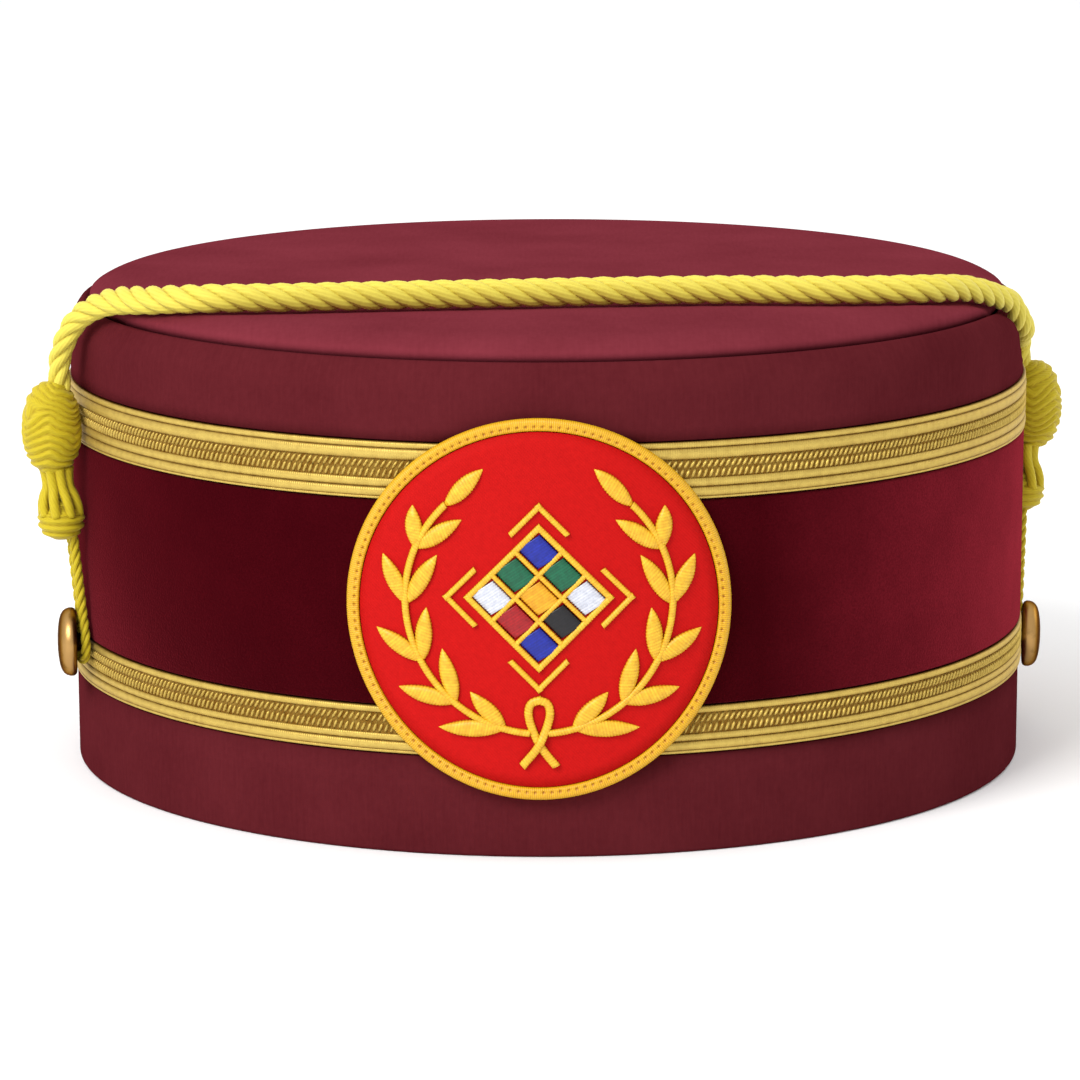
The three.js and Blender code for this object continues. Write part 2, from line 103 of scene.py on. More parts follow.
def turned(profile, steps, closed=True):
    """A section turned round the axis. Its points may hold a third number, kept as their painted shade."""
    bm = bmesh.new()
    painted_shade = bm.verts.layers.float.new("painted_shade")
    points = []
    for radius, height, *rest in profile:
        point = bm.verts.new((radius, 0, height))
        point[painted_shade] = rest[0] if rest else 0.0
        points.append(point)
    pairs = zip(points, points[1:] + points[:1] if closed else points[1:])
    edges = [bm.edges.new(pair) for pair in pairs]
    whole = {"cent": (0, 0, 0), "axis": (0, 0, 1), "dvec": (0, 0, 0), "angle": math.tau, "steps": steps}
    bmesh.ops.spin(bm, geom=points + edges, use_merge=True, **whole)
    bmesh.ops.remove_doubles(bm, verts=bm.verts, dist=1e-4)
    bmesh.ops.recalc_face_normals(bm, faces=bm.faces)
    return bm


def made_oval(bm):
    bmesh.ops.scale(bm, vec=(1, OVAL, 1), verts=bm.verts)
    return bm


def finish_piece(name, bm, material, nodes):
    """Set a mesh in millimetres into the frame, drawn in toward the rim, in the place of some nodes."""
    for vert in bm.verts:
        drawn_in = 1 - TAPER * max(1 - vert.co.z / (HEIGHT - SHOULDER_UP), 0)
        vert.co.x *= drawn_in
        vert.co.y *= drawn_in
    bmesh.ops.scale(bm, vec=(MM, MM, MM), verts=bm.verts)
    bmesh.ops.translate(bm, vec=AXIS, verts=bm.verts)
    mesh = bpy.data.meshes.new(name)
    bm.to_mesh(mesh)
    bm.free()
    mesh.shade_smooth()
    mesh.materials.append(material)
    piece = bpy.data.objects.new(name, mesh)
    bpy.context.scene.collection.objects.link(piece)
    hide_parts(*nodes)
    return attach(piece, "root")


def add_node(tree, kind, sockets=(), **settings):
    """A shader node with its settings, and its sockets linked or filled."""
    made = tree.nodes.new("ShaderNode" + kind)
    for name, value in settings.items():
        setattr(made, name, value)
    for socket, value in dict(sockets).items():
        if isinstance(value, bpy.types.NodeSocket):
            tree.links.new(value, made.inputs[socket])
        else:
            made.inputs[socket].default_value = value
    return made


def math_node(tree, operation, *values, clamp=False):
    return add_node(tree, "Math", enumerate(values), operation=operation, use_clamp=clamp).outputs[0]


def mix_colour(tree, share, first, second):
    """One colour blended into another."""
    mixed = add_node(tree, "Mix", {0: share, 6: first, 7: second}, data_type="RGBA")
    return mixed.outputs[2]


# How much of a screen colour a surface needs to look like it in the studio's light
LIT_SHARE = 0.8


def from_screen(red, green, blue):
    """A surface's linear colour, given as it shows on a screen, 0 to 255."""
    channels = [c / 255 for c in (red, green, blue)]
    linear = [c / 12.92 if c <= 0.04045 else ((c + 0.055) / 1.055) ** 2.4 for c in channels]
    return (*[LIT_SHARE * c for c in linear], 1.0)


def new_material(name, roughness, specular):
    """A material and its shader, with the plain numbers that hold all over."""
    material = bpy.data.materials.new(name)
    material.use_nodes = True
    shader = material.node_tree.nodes["Principled BSDF"]
    shader.inputs["Roughness"].default_value = roughness
    shader.inputs["Specular IOR Level"].default_value = specular
    return material, material.node_tree, shader


def dress(tree, shader, colour, relief, strength, depth):
    """Give a shader its colour, and a bump from a relief of some depth in millimetres."""
    tree.links.new(colour, shader.inputs["Base Color"])
    bump = add_node(tree, "Bump", {"Height": relief, "Strength": strength, "Distance": depth * MM})
    tree.links.new(bump.outputs[0], shader.inputs["Normal"])


def place_about_axis(tree):
    """The surface's place in metres from the crown's axis, and that place's three parts."""
    spot = add_node(tree, "TexCoord").outputs["Object"]
    centred = add_node(tree, "Mapping", {"Vector": spot, "Location": -AXIS}).outputs[0]
    parts = add_node(tree, "SeparateXYZ", {0: centred}).outputs
    return centred, parts


def oval_angle(tree, parts):
    """The angle round the oval wall, as on a circle."""
    return math_node(tree, "ARCTAN2", math_node(tree, "DIVIDE", parts[1], OVAL), parts[0])


def new_group(name, inputs, outputs):
    """An empty shader group with sockets of the named kinds, and the nodes for its two ends."""
    group = bpy.data.node_groups.new(name, "ShaderNodeTree")
    for socket, kind in inputs.items():
        group.interface.new_socket(socket, in_out="INPUT", socket_type="NodeSocket" + kind)
    for socket, kind in outputs.items():
        group.interface.new_socket(socket, in_out="OUTPUT", socket_type="NodeSocket" + kind)
    return group, group.nodes.new("NodeGroupInput"), group.nodes.new("NodeGroupOutput")


def ribbed_cloth_group():
    """Uneven yarns of a fine ribbed weave: a height for bump, and a mask of lighter and darker threads."""
    group, given, put = new_group(
        "ribbed_cloth",
        {"Threads": "Vector", "Place": "Vector"},
        {"Height": "Float", "Shade": "Float"},
    )
    ribs = add_node(group, "TexNoise", {"Vector": given.outputs["Threads"], "Scale": 1.0, "Detail": 2.0})
    yarn = add_node(group, "TexNoise", {"Vector": given.outputs["Place"], "Scale": 900.0, "Detail": 3.0})
    patch = add_node(group, "TexNoise", {"Vector": given.outputs["Place"], "Scale": 45.0, "Detail": 4.0})
    fine = math_node(group, "ADD", ribs.outputs[0], yarn.outputs[0])
    group.links.new(fine, put.inputs["Height"])
    uneven = math_node(group, "MULTIPLY", math_node(group, "SUBTRACT", fine, 1.0), RIB_CONTRAST)
    group.links.new(math_node(group, "ADD", patch.outputs[0], uneven), put.inputs["Shade"])
    return group


RIB_PITCH = 0.55
RIB_RUN = 6.0
RIB_CONTRAST = 0.4
CLOTH_DARK = from_screen(79, 23, 29)
CLOTH_LIGHT = from_screen(103, 37, 43)
ribbed_cloth = ribbed_cloth_group()


def cloth_material(name, threads_of, dark, light):
    """Ribbed cloth; threads_of gives a place as a count of ribs across and a distance along them."""
    material, tree, shader = new_material(name, 0.9, 0.0)
    place, parts = place_about_axis(tree)
    across, along = threads_of(tree, parts)
    threads = add_node(tree, "CombineXYZ", {0: across, 1: math_node(tree, "DIVIDE", along, RIB_RUN * MM)})
    given = {"Threads": threads.outputs[0], "Place": place}
    weave = add_node(tree, "Group", given, node_tree=ribbed_cloth).outputs
    dress(tree, shader, mix_colour(tree, weave["Shade"], dark, light), weave["Height"], 0.14, 0.2)
    return material


def upright_ribs(tree, parts):
    """Ribs that stand on the wall, counted round the oval."""
    count = round(GIRTH / RIB_PITCH)
    return math_node(tree, "MULTIPLY", oval_angle(tree, parts), count / math.tau), parts[2]


side_section = arc((HALF_WIDTH - HEM, HEM), HEM, -90, 0, 5)
side_section += [(HALF_WIDTH, z) for z in LOW_ROWS]
side_section += [(HALF_WIDTH, LOWER_BRAID[0] - GAP), (HALF_WIDTH - RECESS, LOWER_BRAID[0] - GAP)]
side_section += [(HALF_WIDTH - RECESS, MIDDLE_ROW)]
side_section += [(HALF_WIDTH - RECESS, UPPER_BRAID[1] + GAP), (HALF_WIDTH, UPPER_BRAID[1] + GAP)]
side_section += [(HALF_WIDTH, z) for z in HIGH_ROWS]
side_section += [shoulder(angle) for angle in range(0, 35, 3)]
side_section += rolled_edge(SIDE_ROLL, -1)
side_section += [shoulder(SEAM_ANGLE - SEAM_HALF_GAP, CLOTH)]
side_section += [shoulder(angle, CLOTH) for angle in (30, 15, 0)]
side_section += [(HALF_WIDTH - CLOTH, z) for z in INNER_ROWS]
side_section += arc((HALF_WIDTH - CLOTH + HEM, HEM), HEM, 180, 270, 5)
side_cloth = finish_piece(
    "side_cloth",
    made_oval(turned(side_section, ROUND_STEPS)),
    cloth_material("wall_cloth", upright_ribs, CLOTH_DARK, CLOTH_LIGHT),
    ["crown_side"],
)

# Top of the crown: a padded disc of the same cloth, sewn face to face with the side and turned out, so that
# its edge rolls over the seam. Its ribs run straight from front to back. Its colours are painted lighter
# than the side's: painted light on the top, where it faces the light from above.
TOP_ROLL = 1.7
TOP_FLAT = HALF_WIDTH - SHOULDER_OUT
TOP_ROW = 3.0
# The same cloth as the side, painted lighter as painted light from above
TOP_LIT_DARK = from_screen(108, 38, 47)
TOP_LIT_LIGHT = from_screen(133, 53, 64)


def straight_ribs(tree, parts):
    return math_node(tree, "DIVIDE", parts[0], RIB_PITCH * MM), parts[1]


flat_rows = [(TOP_FLAT - TOP_ROW * i, HEIGHT) for i in range(1, int(TOP_FLAT / TOP_ROW) + 1)]
top_section = list(reversed(rolled_edge(TOP_ROLL, 1)))
top_section += [shoulder(angle) for angle in range(58, 91, 4)]
top_section += flat_rows + [(0, HEIGHT), (0, HEIGHT - CLOTH), (TOP_FLAT, HEIGHT - CLOTH)]
top_section += [shoulder(angle, CLOTH) for angle in (75, 60)]
top_section += [shoulder(SEAM_ANGLE + SEAM_HALF_GAP, CLOTH)]
top_cloth = finish_piece(
    "top_cloth",
    made_oval(turned(top_section, ROUND_STEPS)),
    cloth_material("top_cloth", straight_ribs, TOP_LIT_DARK, TOP_LIT_LIGHT),
    ["crown_top"],
)

# Velvet band: a strip of dark wine velvet sewn round the wall between the two braids. Its short pile drinks
# the light from the front and shines where it is seen along the surface. On the right its colour is painted
# paler, a painted sheen where the pile catches the light.
UNDER_TRIM = HALF_WIDTH - RECESS + GAP
VELVET_LIFT = 0.3
PILE_DARK = from_screen(49, 3, 8)
PILE_LIGHT = from_screen(69, 7, 15)
# Paler red painted over the right of the band as a painted sheen
PILE_PAINTED_SHEEN = from_screen(138, 34, 47)
PILE_SHEEN = from_screen(212, 74, 88)
# Where the painted sheen starts and is full, to the right of the axis, in metres
PAINTED_SHEEN_FROM = 0.038
PAINTED_SHEEN_TO = 0.1


def velvet_material():
    material, tree, shader = new_material("velvet", 0.95, 0.0)
    place, parts = place_about_axis(tree)
    pile = add_node(tree, "TexNoise", {"Vector": place, "Scale": 2600.0, "Detail": 2.0})
    brushed = add_node(tree, "TexNoise", {"Vector": place, "Scale": 55.0, "Detail": 5.0, "Roughness": 0.65})
    patches = math_node(tree, "MULTIPLY", brushed.outputs[0], 2.0)
    mask = math_node(tree, "MULTIPLY", pile.outputs[0], patches)
    laid = mix_colour(tree, mask, PILE_DARK, PILE_LIGHT)
    # Painted sheen: blend toward the paler red to the right of the axis, more on the lighter patches
    painted_sheen = add_node(tree, "MapRange", {"Value": parts[0], "From Min": PAINTED_SHEEN_FROM, "From Max": PAINTED_SHEEN_TO})
    share = math_node(tree, "MULTIPLY", painted_sheen.outputs[0], math_node(tree, "ADD", mask, 0.4))
    dress(tree, shader, mix_colour(tree, share, laid, PILE_PAINTED_SHEEN), pile.outputs[0], 0.5, 0.3)
    shader.inputs["Sheen Weight"].default_value = 0.48
    shader.inputs["Sheen Roughness"].default_value = 0.38
    shader.inputs["Sheen Tint"].default_value = PILE_SHEEN
    return material


velvet_bottom = LOWER_BRAID[1] + GAP
velvet_top = UPPER_BRAID[0] - GAP
velvet_skin = HALF_WIDTH + VELVET_LIFT
velvet_section = [(UNDER_TRIM, velvet_bottom), (HALF_WIDTH, velvet_bottom)]
velvet_section += [(velvet_skin, z) for z in (velvet_bottom + GAP, MIDDLE_ROW, velvet_top - GAP)]
velvet_section += [(HALF_WIDTH, velvet_top), (UNDER_TRIM, velvet_top)]
velvet_pile = finish_piece(
    "velvet_pile",
    made_oval(turned(velvet_section, ROUND_STEPS)),
    velvet_material(),
    ["velvet_band"],
)

# Gold braid: flat lace woven from gilt wire, sewn over both edges of the velvet. Smooth strips lie side by
# side, with a sunken strip of slanted stitches between them. The sunken strip and the edges of the strips
# are painted darker, painted shade in the recesses.
BRAID_GROOVE = 0.05
SUNKEN_UNDER = 0.2
# Strips upward: share of the width, lift, and lift of the groove above each
UPPER_STRIPS = (
    (0.05, 0.50, 0.36),
    (0.16, 0.62, 0.05),
    (0.16, 0.55, 0.12),
    (0.32, 0.14, 0.12),
    (0.20, 0.62, 0.05),
    (0.11, 0.48, 0.05),
)
LOWER_STRIPS = (
    (0.07, 0.50, 0.36),
    (0.19, 0.62, 0.05),
    (0.16, 0.55, 0.12),
    (0.43, 0.14, 0.12),
    (0.15, 0.55, 0.05),
)
# A strip's rounded section, as shares across it and of its lift over the groove
STRIP_ROWS = (
    (0.03, 0.35), (0.09, 0.64), (0.22, 0.88), (0.5, 1.0), (0.78, 0.88), (0.91, 0.64), (0.97, 0.35),
)
STITCH = {"pitch": 1.16, "long": 1.1, "wide": 0.28, "high": 0.5, "lift": 0.16}
STITCH_SLANTS = (66, 55)
# Painted shade of the sunken strip, and the little that its raised stitches carry
SUNKEN_SHADE = 0.85
STITCH_SHADE = 0.12
WIRES_IN_TURN = 1300.0
GILT_BRIGHT = from_screen(219, 189, 98)
GILT_DEEP = from_screen(120, 78, 18)


def painted_shade_mask(tree):
    """The painted shade at a place, as its mesh keeps it: darkness painted where shade falls."""
    return add_node(tree, "Attribute", attribute_name="painted_shade").outputs["Fac"]


def braid_material():
    material, tree, shader = new_material("gilt_braid", 0.4, 0.5)
    place, parts = place_about_axis(tree)
    wires = math_node(tree, "SINE", math_node(tree, "MULTIPLY", oval_angle(tree, parts), WIRES_IN_TURN))
    uneven = add_node(tree, "TexNoise", {"Vector": place, "Scale": 700.0, "Detail": 3.0}).outputs[0]
    shade = math_node(tree, "MULTIPLY", math_node(tree, "SUBTRACT", uneven, 0.5), 0.6)
    # Painted shade from the mesh, with the wire's uneven tone added
    mask = math_node(tree, "ADD", painted_shade_mask(tree), shade, clamp=True)
    relief = math_node(tree, "ADD", math_node(tree, "MULTIPLY", wires, 0.35), uneven)
    dress(tree, shader, mix_colour(tree, mask, GILT_BRIGHT, GILT_DEEP), relief, 0.3, 0.2)
    shader.inputs["Metallic"].default_value = 0.5
    shader.inputs["Specular Tint"].default_value = GILT_BRIGHT
    return material


def braid_section(edges, strips):
    """The lace's closed section with its painted shade, and the middle height and width of its sunken row.
    """
    width = edges[1] - edges[0]
    section = [(UNDER_TRIM, edges[0], 1.0), (HALF_WIDTH, edges[0], 1.0)]
    z = edges[0]
    under = BRAID_GROOVE
    sunken = None
    for share, lift, over in strips:
        wide = share * width
        if lift < SUNKEN_UNDER:
            sunken = (z + wide / 2, wide)
        for across, rise in STRIP_ROWS:
            low = under if across < 0.5 else over
            # Painted shade: the sunken strip is dark all over, and each strip darkens toward its edges
            dark = SUNKEN_SHADE if lift < SUNKEN_UNDER else SUNKEN_SHADE * (1 - rise) ** 0.7
            section.append((HALF_WIDTH + low + (lift - low) * rise, z + across * wide, dark))
        z += wide
        section.append((HALF_WIDTH + over, z, 1.0))
        under = over
    section += [(HALF_WIDTH, edges[1], 1.0), (UNDER_TRIM, edges[1], 1.0)]
    return section, sunken


def wire_grain(slant):
    """One slanted grain of wire, lying on the wall with x outward."""
    bm = bmesh.new()
    painted_shade = bm.verts.layers.float.new("painted_shade")
    turned_up = Matrix.Rotation(math.radians(slant), 4, "X")
    size = Matrix.Diagonal((STITCH["high"], STITCH["long"], STITCH["wide"], 1))
    bmesh.ops.create_uvsphere(bm, u_segments=6, v_segments=4, radius=1, matrix=turned_up @ size)
    # Little painted shade on the raised grains, so they stand out bright in the shaded strip
    for vert in bm.verts:
        vert[painted_shade] = STITCH_SHADE
    mesh = bpy.data.meshes.new("wire_grain")
    bm.to_mesh(mesh)
    bm.free()
    return mesh


def on_wall(angle):
    """A frame on the wall: x outward, y along the wall and z up."""
    turn = math.radians(angle)
    facing = math.atan2(math.sin(turn) / HALF_DEPTH, math.cos(turn) / HALF_WIDTH)
    spot = (HALF_WIDTH * math.cos(turn), HALF_DEPTH * math.sin(turn), 0)
    return Matrix.Translation(spot) @ Matrix.Rotation(facing, 4, "Z")


def add_slanted_stitches(bm, middle, width):
    """Two rows of grains laid round the sunken row, the lower ones steeper and running into the upper."""
    count = round(GIRTH / STITCH["pitch"])
    for row, slant in enumerate(STITCH_SLANTS):
        grain = wire_grain(slant)
        up = (row - 0.5) * width / 2
        along = up / math.tan(math.radians(slant)) / STITCH["pitch"]
        lifted = Matrix.Translation((STITCH["lift"], 0, middle + up))
        for i in range(count):
            stitch = grain.copy()
            stitch.transform(on_wall(360 * (i + along) / count) @ lifted)
            bm.from_mesh(stitch)
            bpy.data.meshes.remove(stitch)
        bpy.data.meshes.remove(grain)


braid_finish = braid_material()
for name, node, edges, strips in (
    ("upper_lace", "upper_braid", UPPER_BRAID, UPPER_STRIPS),
    ("lower_lace", "lower_braid", LOWER_BRAID, LOWER_STRIPS),
):
    section, sunken = braid_section(edges, strips)
    lace = made_oval(turned(section, ROUND_STEPS))
    add_slanted_stitches(lace, *sunken)
    finish_piece(name, lace, braid_finish, [node])

# Badge: a disc of red twill on a stiff back, sewn to the front of the wall over the braids. Flat pieces have
# x to the right, y up and z off the wall, and bent_on_wall lays them round the front.
BADGE_X = -1.7
BADGE_Z = 45.2
BADGE_RADIUS = 34.2
BADGE_BORDER = 2.4
BADGE_BACK = 0.9
DISC_FRONT = 2.3
DISC_RADIUS = BADGE_RADIUS - BADGE_BORDER
DISC_ROWS = 14
DISC_STEPS = 120
TWILL_PITCH = 0.62
TWILL_RED = from_screen(204, 15, 13)
TWILL_DEEP = from_screen(184, 7, 7)


def bent_on_wall(bm):
    for vert in bm.verts:
        x = BADGE_X + vert.co.x
        lift = vert.co.z
        depth = (HALF_DEPTH + lift) * math.sqrt(1 - (x / (HALF_WIDTH + lift)) ** 2)
        vert.co = (x, -depth, BADGE_Z + vert.co.y)
    return bm


def twill_material():
    material, tree, shader = new_material("red_twill", 0.75, 0.12)
    place, parts = place_about_axis(tree)
    diagonal = math_node(tree, "DIVIDE", math_node(tree, "ADD", parts[0], parts[2]), TWILL_PITCH * MM)
    wale = math_node(tree, "SINE", math_node(tree, "MULTIPLY", diagonal, math.tau))
    yarn = add_node(tree, "TexNoise", {"Vector": place, "Scale": 1100.0, "Detail": 3.0})
    shade = math_node(tree, "ADD", math_node(tree, "MULTIPLY", wale, 0.16), yarn.outputs[0])
    dress(tree, shader, mix_colour(tree, shade, TWILL_DEEP, TWILL_RED), shade, 0.25, 0.2)
    return material


disc_radii = [DISC_RADIUS * i / DISC_ROWS for i in range(DISC_ROWS + 1)]
disc_section = [(radius, BADGE_BACK) for radius in disc_radii]
disc_section += [(radius, DISC_FRONT) for radius in reversed(disc_radii)]
disc = bent_on_wall(turned(disc_section, DISC_STEPS))
finish_piece("twill_disc", disc, twill_material(), ["badge_disc"])

# Badge border: the overlocked edge, gold thread wrapped close round the rim of the badge, with the row of
# needle holes that the machine leaves inside it.
BORDER_THICK = 2.0
BORDER_CLEAR = 0.1
RIM_THREADS = 560.0
HOLES = 138
STEPS_PER_HOLE = 6
HOLE_DEPTH = 0.4
HOLE_PLACE = 0.38
HOLE_REACH = 0.32
HOLE_SHADE = 0.9
# The rim's section as shares of its width outward and of its thickness forward
BORDER_ROWS = (
    (0.0, 0.0), (0.5, 0.0), (0.86, 0.02), (0.97, 0.22), (1.0, 0.48), (0.96, 0.72), (0.87, 0.9),
    (0.74, 0.985), (0.6, 1.0), (0.5, 0.99), (0.44, 0.975), (0.38, 0.96), (0.32, 0.95), (0.26, 0.94),
    (0.16, 0.9), (0.07, 0.8), (0.01, 0.62), (0.0, 0.3),
)
GOLD_BRIGHT = from_screen(235, 182, 22)
GOLD_DEEP = from_screen(190, 116, 6)


def spun_fibre_group():
    """Uneven fibres over ridges: a bump relief, and a mask of painted shade in hollows and between ridges.
    """
    floats = ("Scale", "Ridges", "Painted Shade", "Level", "Contrast")
    sockets = {"Place": "Vector", **{name: "Float" for name in floats}}
    group, given, put = new_group("spun_fibre", sockets, {"Relief": "Float", "Mask": "Float"})
    place, scale, ridges, painted_shade, level, contrast = [given.outputs[name] for name in sockets]
    fibre = add_node(group, "TexNoise", {"Vector": place, "Scale": scale, "Detail": 3.0})
    relief = math_node(group, "ADD", fibre.outputs[0], ridges)
    group.links.new(relief, put.inputs["Relief"])
    uneven = math_node(group, "MULTIPLY", math_node(group, "SUBTRACT", level, relief), contrast)
    group.links.new(math_node(group, "ADD", painted_shade, uneven, clamp=True), put.inputs["Mask"])
    return group


spun_fibre = spun_fibre_group()


def dress_in_fibre(tree, shader, given, bright, deep):
    """Spun thread on a shader, bright on its ridges and painted deep in its hollows as painted shade."""
    fibre = add_node(tree, "Group", given, node_tree=spun_fibre).outputs
    dress(tree, shader, mix_colour(tree, fibre["Mask"], bright, deep), fibre["Relief"], 0.35, 0.2)


def thread_material(name, bright, deep, ridges=None):
    """Shiny embroidery thread; ridges, where it is given, makes a wave across the threads, painted darker
    between them.
    """
    material, tree, shader = new_material(name, 0.42, 0.4)
    place, parts = place_about_axis(tree)
    given = {"Place": place, "Scale": 1300.0, "Painted Shade": painted_shade_mask(tree), "Level": 0.6, "Contrast": 0.9}
    if ridges:
        given["Ridges"] = math_node(tree, "MULTIPLY", ridges(tree, parts), 0.5)
    dress_in_fibre(tree, shader, given, bright, deep)
    return material


def rim_threads(tree, parts):
    """Threads that run outward over the rim, counted round the badge."""
    right = math_node(tree, "SUBTRACT", parts[0], BADGE_X * MM)
    up = math_node(tree, "SUBTRACT", parts[2], BADGE_Z * MM)
    angle = math_node(tree, "ARCTAN2", up, right)
    return math_node(tree, "SINE", math_node(tree, "MULTIPLY", angle, RIM_THREADS))


def prick_holes(bm, inner, width):
    """Needle holes: the thread dips at even steps round the rim, and painted shade darkens it in the holes.
    """
    painted_shade = bm.verts.layers.float["painted_shade"]
    middle = inner + HOLE_PLACE * width
    for vert in bm.verts:
        radius = math.hypot(vert.co.x, vert.co.y)
        turn = math.atan2(vert.co.y, vert.co.x) / math.tau * HOLES
        along = abs(turn - round(turn)) * math.tau * middle / HOLES
        away = math.hypot(along, radius - middle) / HOLE_REACH
        if vert.co.z > BADGE_BACK + BORDER_THICK / 2 and away < 1:
            vert.co.z -= HOLE_DEPTH * (1 - away ** 2)
            vert[painted_shade] = HOLE_SHADE * (1 - away ** 3)


border_inner = DISC_RADIUS + BORDER_CLEAR
border_width = BADGE_RADIUS - border_inner
border_section = [
    (border_inner + out * border_width, BADGE_BACK + forward * BORDER_THICK) for out, forward in BORDER_ROWS
]
border = turned(border_section, HOLES * STEPS_PER_HOLE)
prick_holes(border, border_inner, border_width)
finish_piece(
    "gold_rim",
    bent_on_wall(border),
    thread_material("rim_thread", GOLD_BRIGHT, GOLD_DEEP, rim_threads),
    ["badge_border"],
)

# Laurel branches: leaves of gold satin stitch, threads laid side by side across each leaf over a soft pad,
# and a raised stem sewn over their roots. The left branch is drawn and mirrored to the right.
STITCH_BASE = DISC_FRONT + 0.02
THREAD = 0.52
THREAD_SLANT = 0.22
GROOVE_IN = 0.94
GROOVE_DOWN = 0.86
GROOVE_SHADE = 0.4
LEAF_HIGH = 1.1
LEAF_ROOT = 0.4
LEAF_SWELL = 2.2
STEM_RADIUS = 23.7
STEM_CENTRE = 1.6
STEM_START = 266
STEM_END = 134
STEM_WIDTH = 1.35
STEM_HIGH = 1.05
STEM_TIP_LEAF = 9.4
SATIN_BRIGHT = from_screen(255, 208, 50)
SATIN_DEEP = from_screen(204, 128, 6)
# Angle on the stem's circle, then length and turn of the outer leaf and of the inner one
LEAF_PAIRS = (
    (255, 11.8, 15, 9.0, 32),
    (231, 10.4, 25, 10.0, 38),
    (208, 9.8, 26, 9.8, 34),
    (182, 9.6, 22, 10.6, 35),
    (157, 7.6, 26, 9.8, 35),
)


def lay_satin(bm, rows, high, base=STITCH_BASE, around=12):
    """Satin stitch along rows of (middle, direction, half width, rise), with a ridge for each thread."""
    painted_shade = bm.verts.layers.float.verify()
    last = len(rows) - 1
    grid = bmesh.ops.create_grid(bm, x_segments=last, y_segments=around, size=0.5)
    for vert in grid["verts"]:
        i = round((vert.co.x + 0.5) * last)
        turn = (vert.co.y + 0.5) * math.tau
        middle, along, half, rise = rows[i]
        ridge = i % 2
        out = math.cos(turn) * half * (1.0 if ridge else GROOVE_IN)
        swell = max(math.sin(turn), 0) ** 0.7
        up = swell * rise * (1.0 if ridge else GROOVE_DOWN)
        across = Vector((-along.y, along.x))
        place = middle + across * out + along * out * THREAD_SLANT
        vert.co = (place.x, place.y, base + high * up)
        # Painted shade in the grooves between threads and where the satin turns down at its edges; ridges
        # get a small uneven tone of their own
        vert[painted_shade] = (0.05 * (i * 7 % 5) if ridge else GROOVE_SHADE) + 0.5 * (1 - swell) ** 2


def close_up(bm):
    bmesh.ops.remove_doubles(bm, verts=bm.verts, dist=1e-4)
    bmesh.ops.recalc_face_normals(bm, faces=bm.faces)
    return bm


def new_stitching():
    bm = bmesh.new()
    bm.verts.layers.float.new("painted_shade")
    return bm


def stem_point(angle):
    turn = math.radians(angle)
    return Vector((STEM_RADIUS * math.cos(turn), STEM_CENTRE + STEM_RADIUS * math.sin(turn)))


def lay_leaf(bm, stem_angle, length, turn):
    swell = (Vector((0.25 * length, LEAF_SWELL, 0)), Vector((0.65 * length, LEAF_SWELL, 0)))
    count = 2 * round(length / THREAD) + 1
    outline = interpolate_bezier(Vector((-LEAF_ROOT, 0, 0)), *swell, Vector((length, 0, 0)), count)
    facing = math.radians(stem_angle - 90 + turn)
    along = Vector((math.cos(facing), math.sin(facing)))
    root = stem_point(stem_angle)
    rows = [(root + along * spot.x, along, spot.y, min(spot.y / 1.2, 1.0)) for spot in outline]
    lay_satin(bm, rows, LEAF_HIGH)


def band_rows(points, half, cut=0.1):
    """Rows for a band of even width along close points, cut square and turned down at both ends."""
    rows = []
    for i, point in enumerate(points):
        along = (points[min(i + 1, len(points) - 1)] - points[max(i - 1, 0)]).normalized()
        rows.append((point, along, half, 1.0))
    first, last = rows[0], rows[-1]
    return [
        (first[0] - first[1] * cut, first[1], half, 0.0),
        *rows,
        (last[0] + last[1] * cut, last[1], half, 0.0),
    ]


def lay_branch():
    bm = new_stitching()
    for stem, outer, outer_turn, inner, inner_turn in LEAF_PAIRS:
        lay_leaf(bm, stem, outer, outer_turn)
        lay_leaf(bm, stem, inner, -inner_turn)
    lay_leaf(bm, STEM_END, STEM_TIP_LEAF, 0)
    count = 2 * round(math.radians(STEM_START - STEM_END) * STEM_RADIUS / THREAD) + 1
    points = [stem_point(STEM_START + (STEM_END - STEM_START) * i / (count - 1)) for i in range(count)]
    lay_satin(bm, band_rows(points, STEM_WIDTH / 2), STEM_HIGH)
    return close_up(bm)


gold_thread = thread_material("gold_thread", SATIN_BRIGHT, SATIN_DEEP)
for hand, side in ((1, "left"), (-1, "right")):
    branch = lay_branch()
    bmesh.ops.scale(branch, vec=(hand, 1, 1), verts=branch.verts)
    bmesh.ops.recalc_face_normals(branch, faces=branch.faces)
    finish_piece(f"laurel_{side}", bent_on_wall(branch), gold_thread, [f"wreath_{side}"])

# Ribbon tie: two satin bands that make a loop over the stems, cross, and hang down in square-cut ends. The
# one that comes down from the right lies on top.
RIBBON_WIDTH = 1.6
RIBBON_HIGH = 0.85
RIBBON_BASE = STITCH_BASE + 0.1
RIBBON_ROUTE = ((-0.3, -16.0), (1.4, -16.7), (1.9, -18.6), (0.0, -24.0), (-3.0, -28.0))
CROSSING = -24.0
CROSSING_REACH = 2.2
CROSSING_LIFT = 0.8 * RIBBON_HIGH


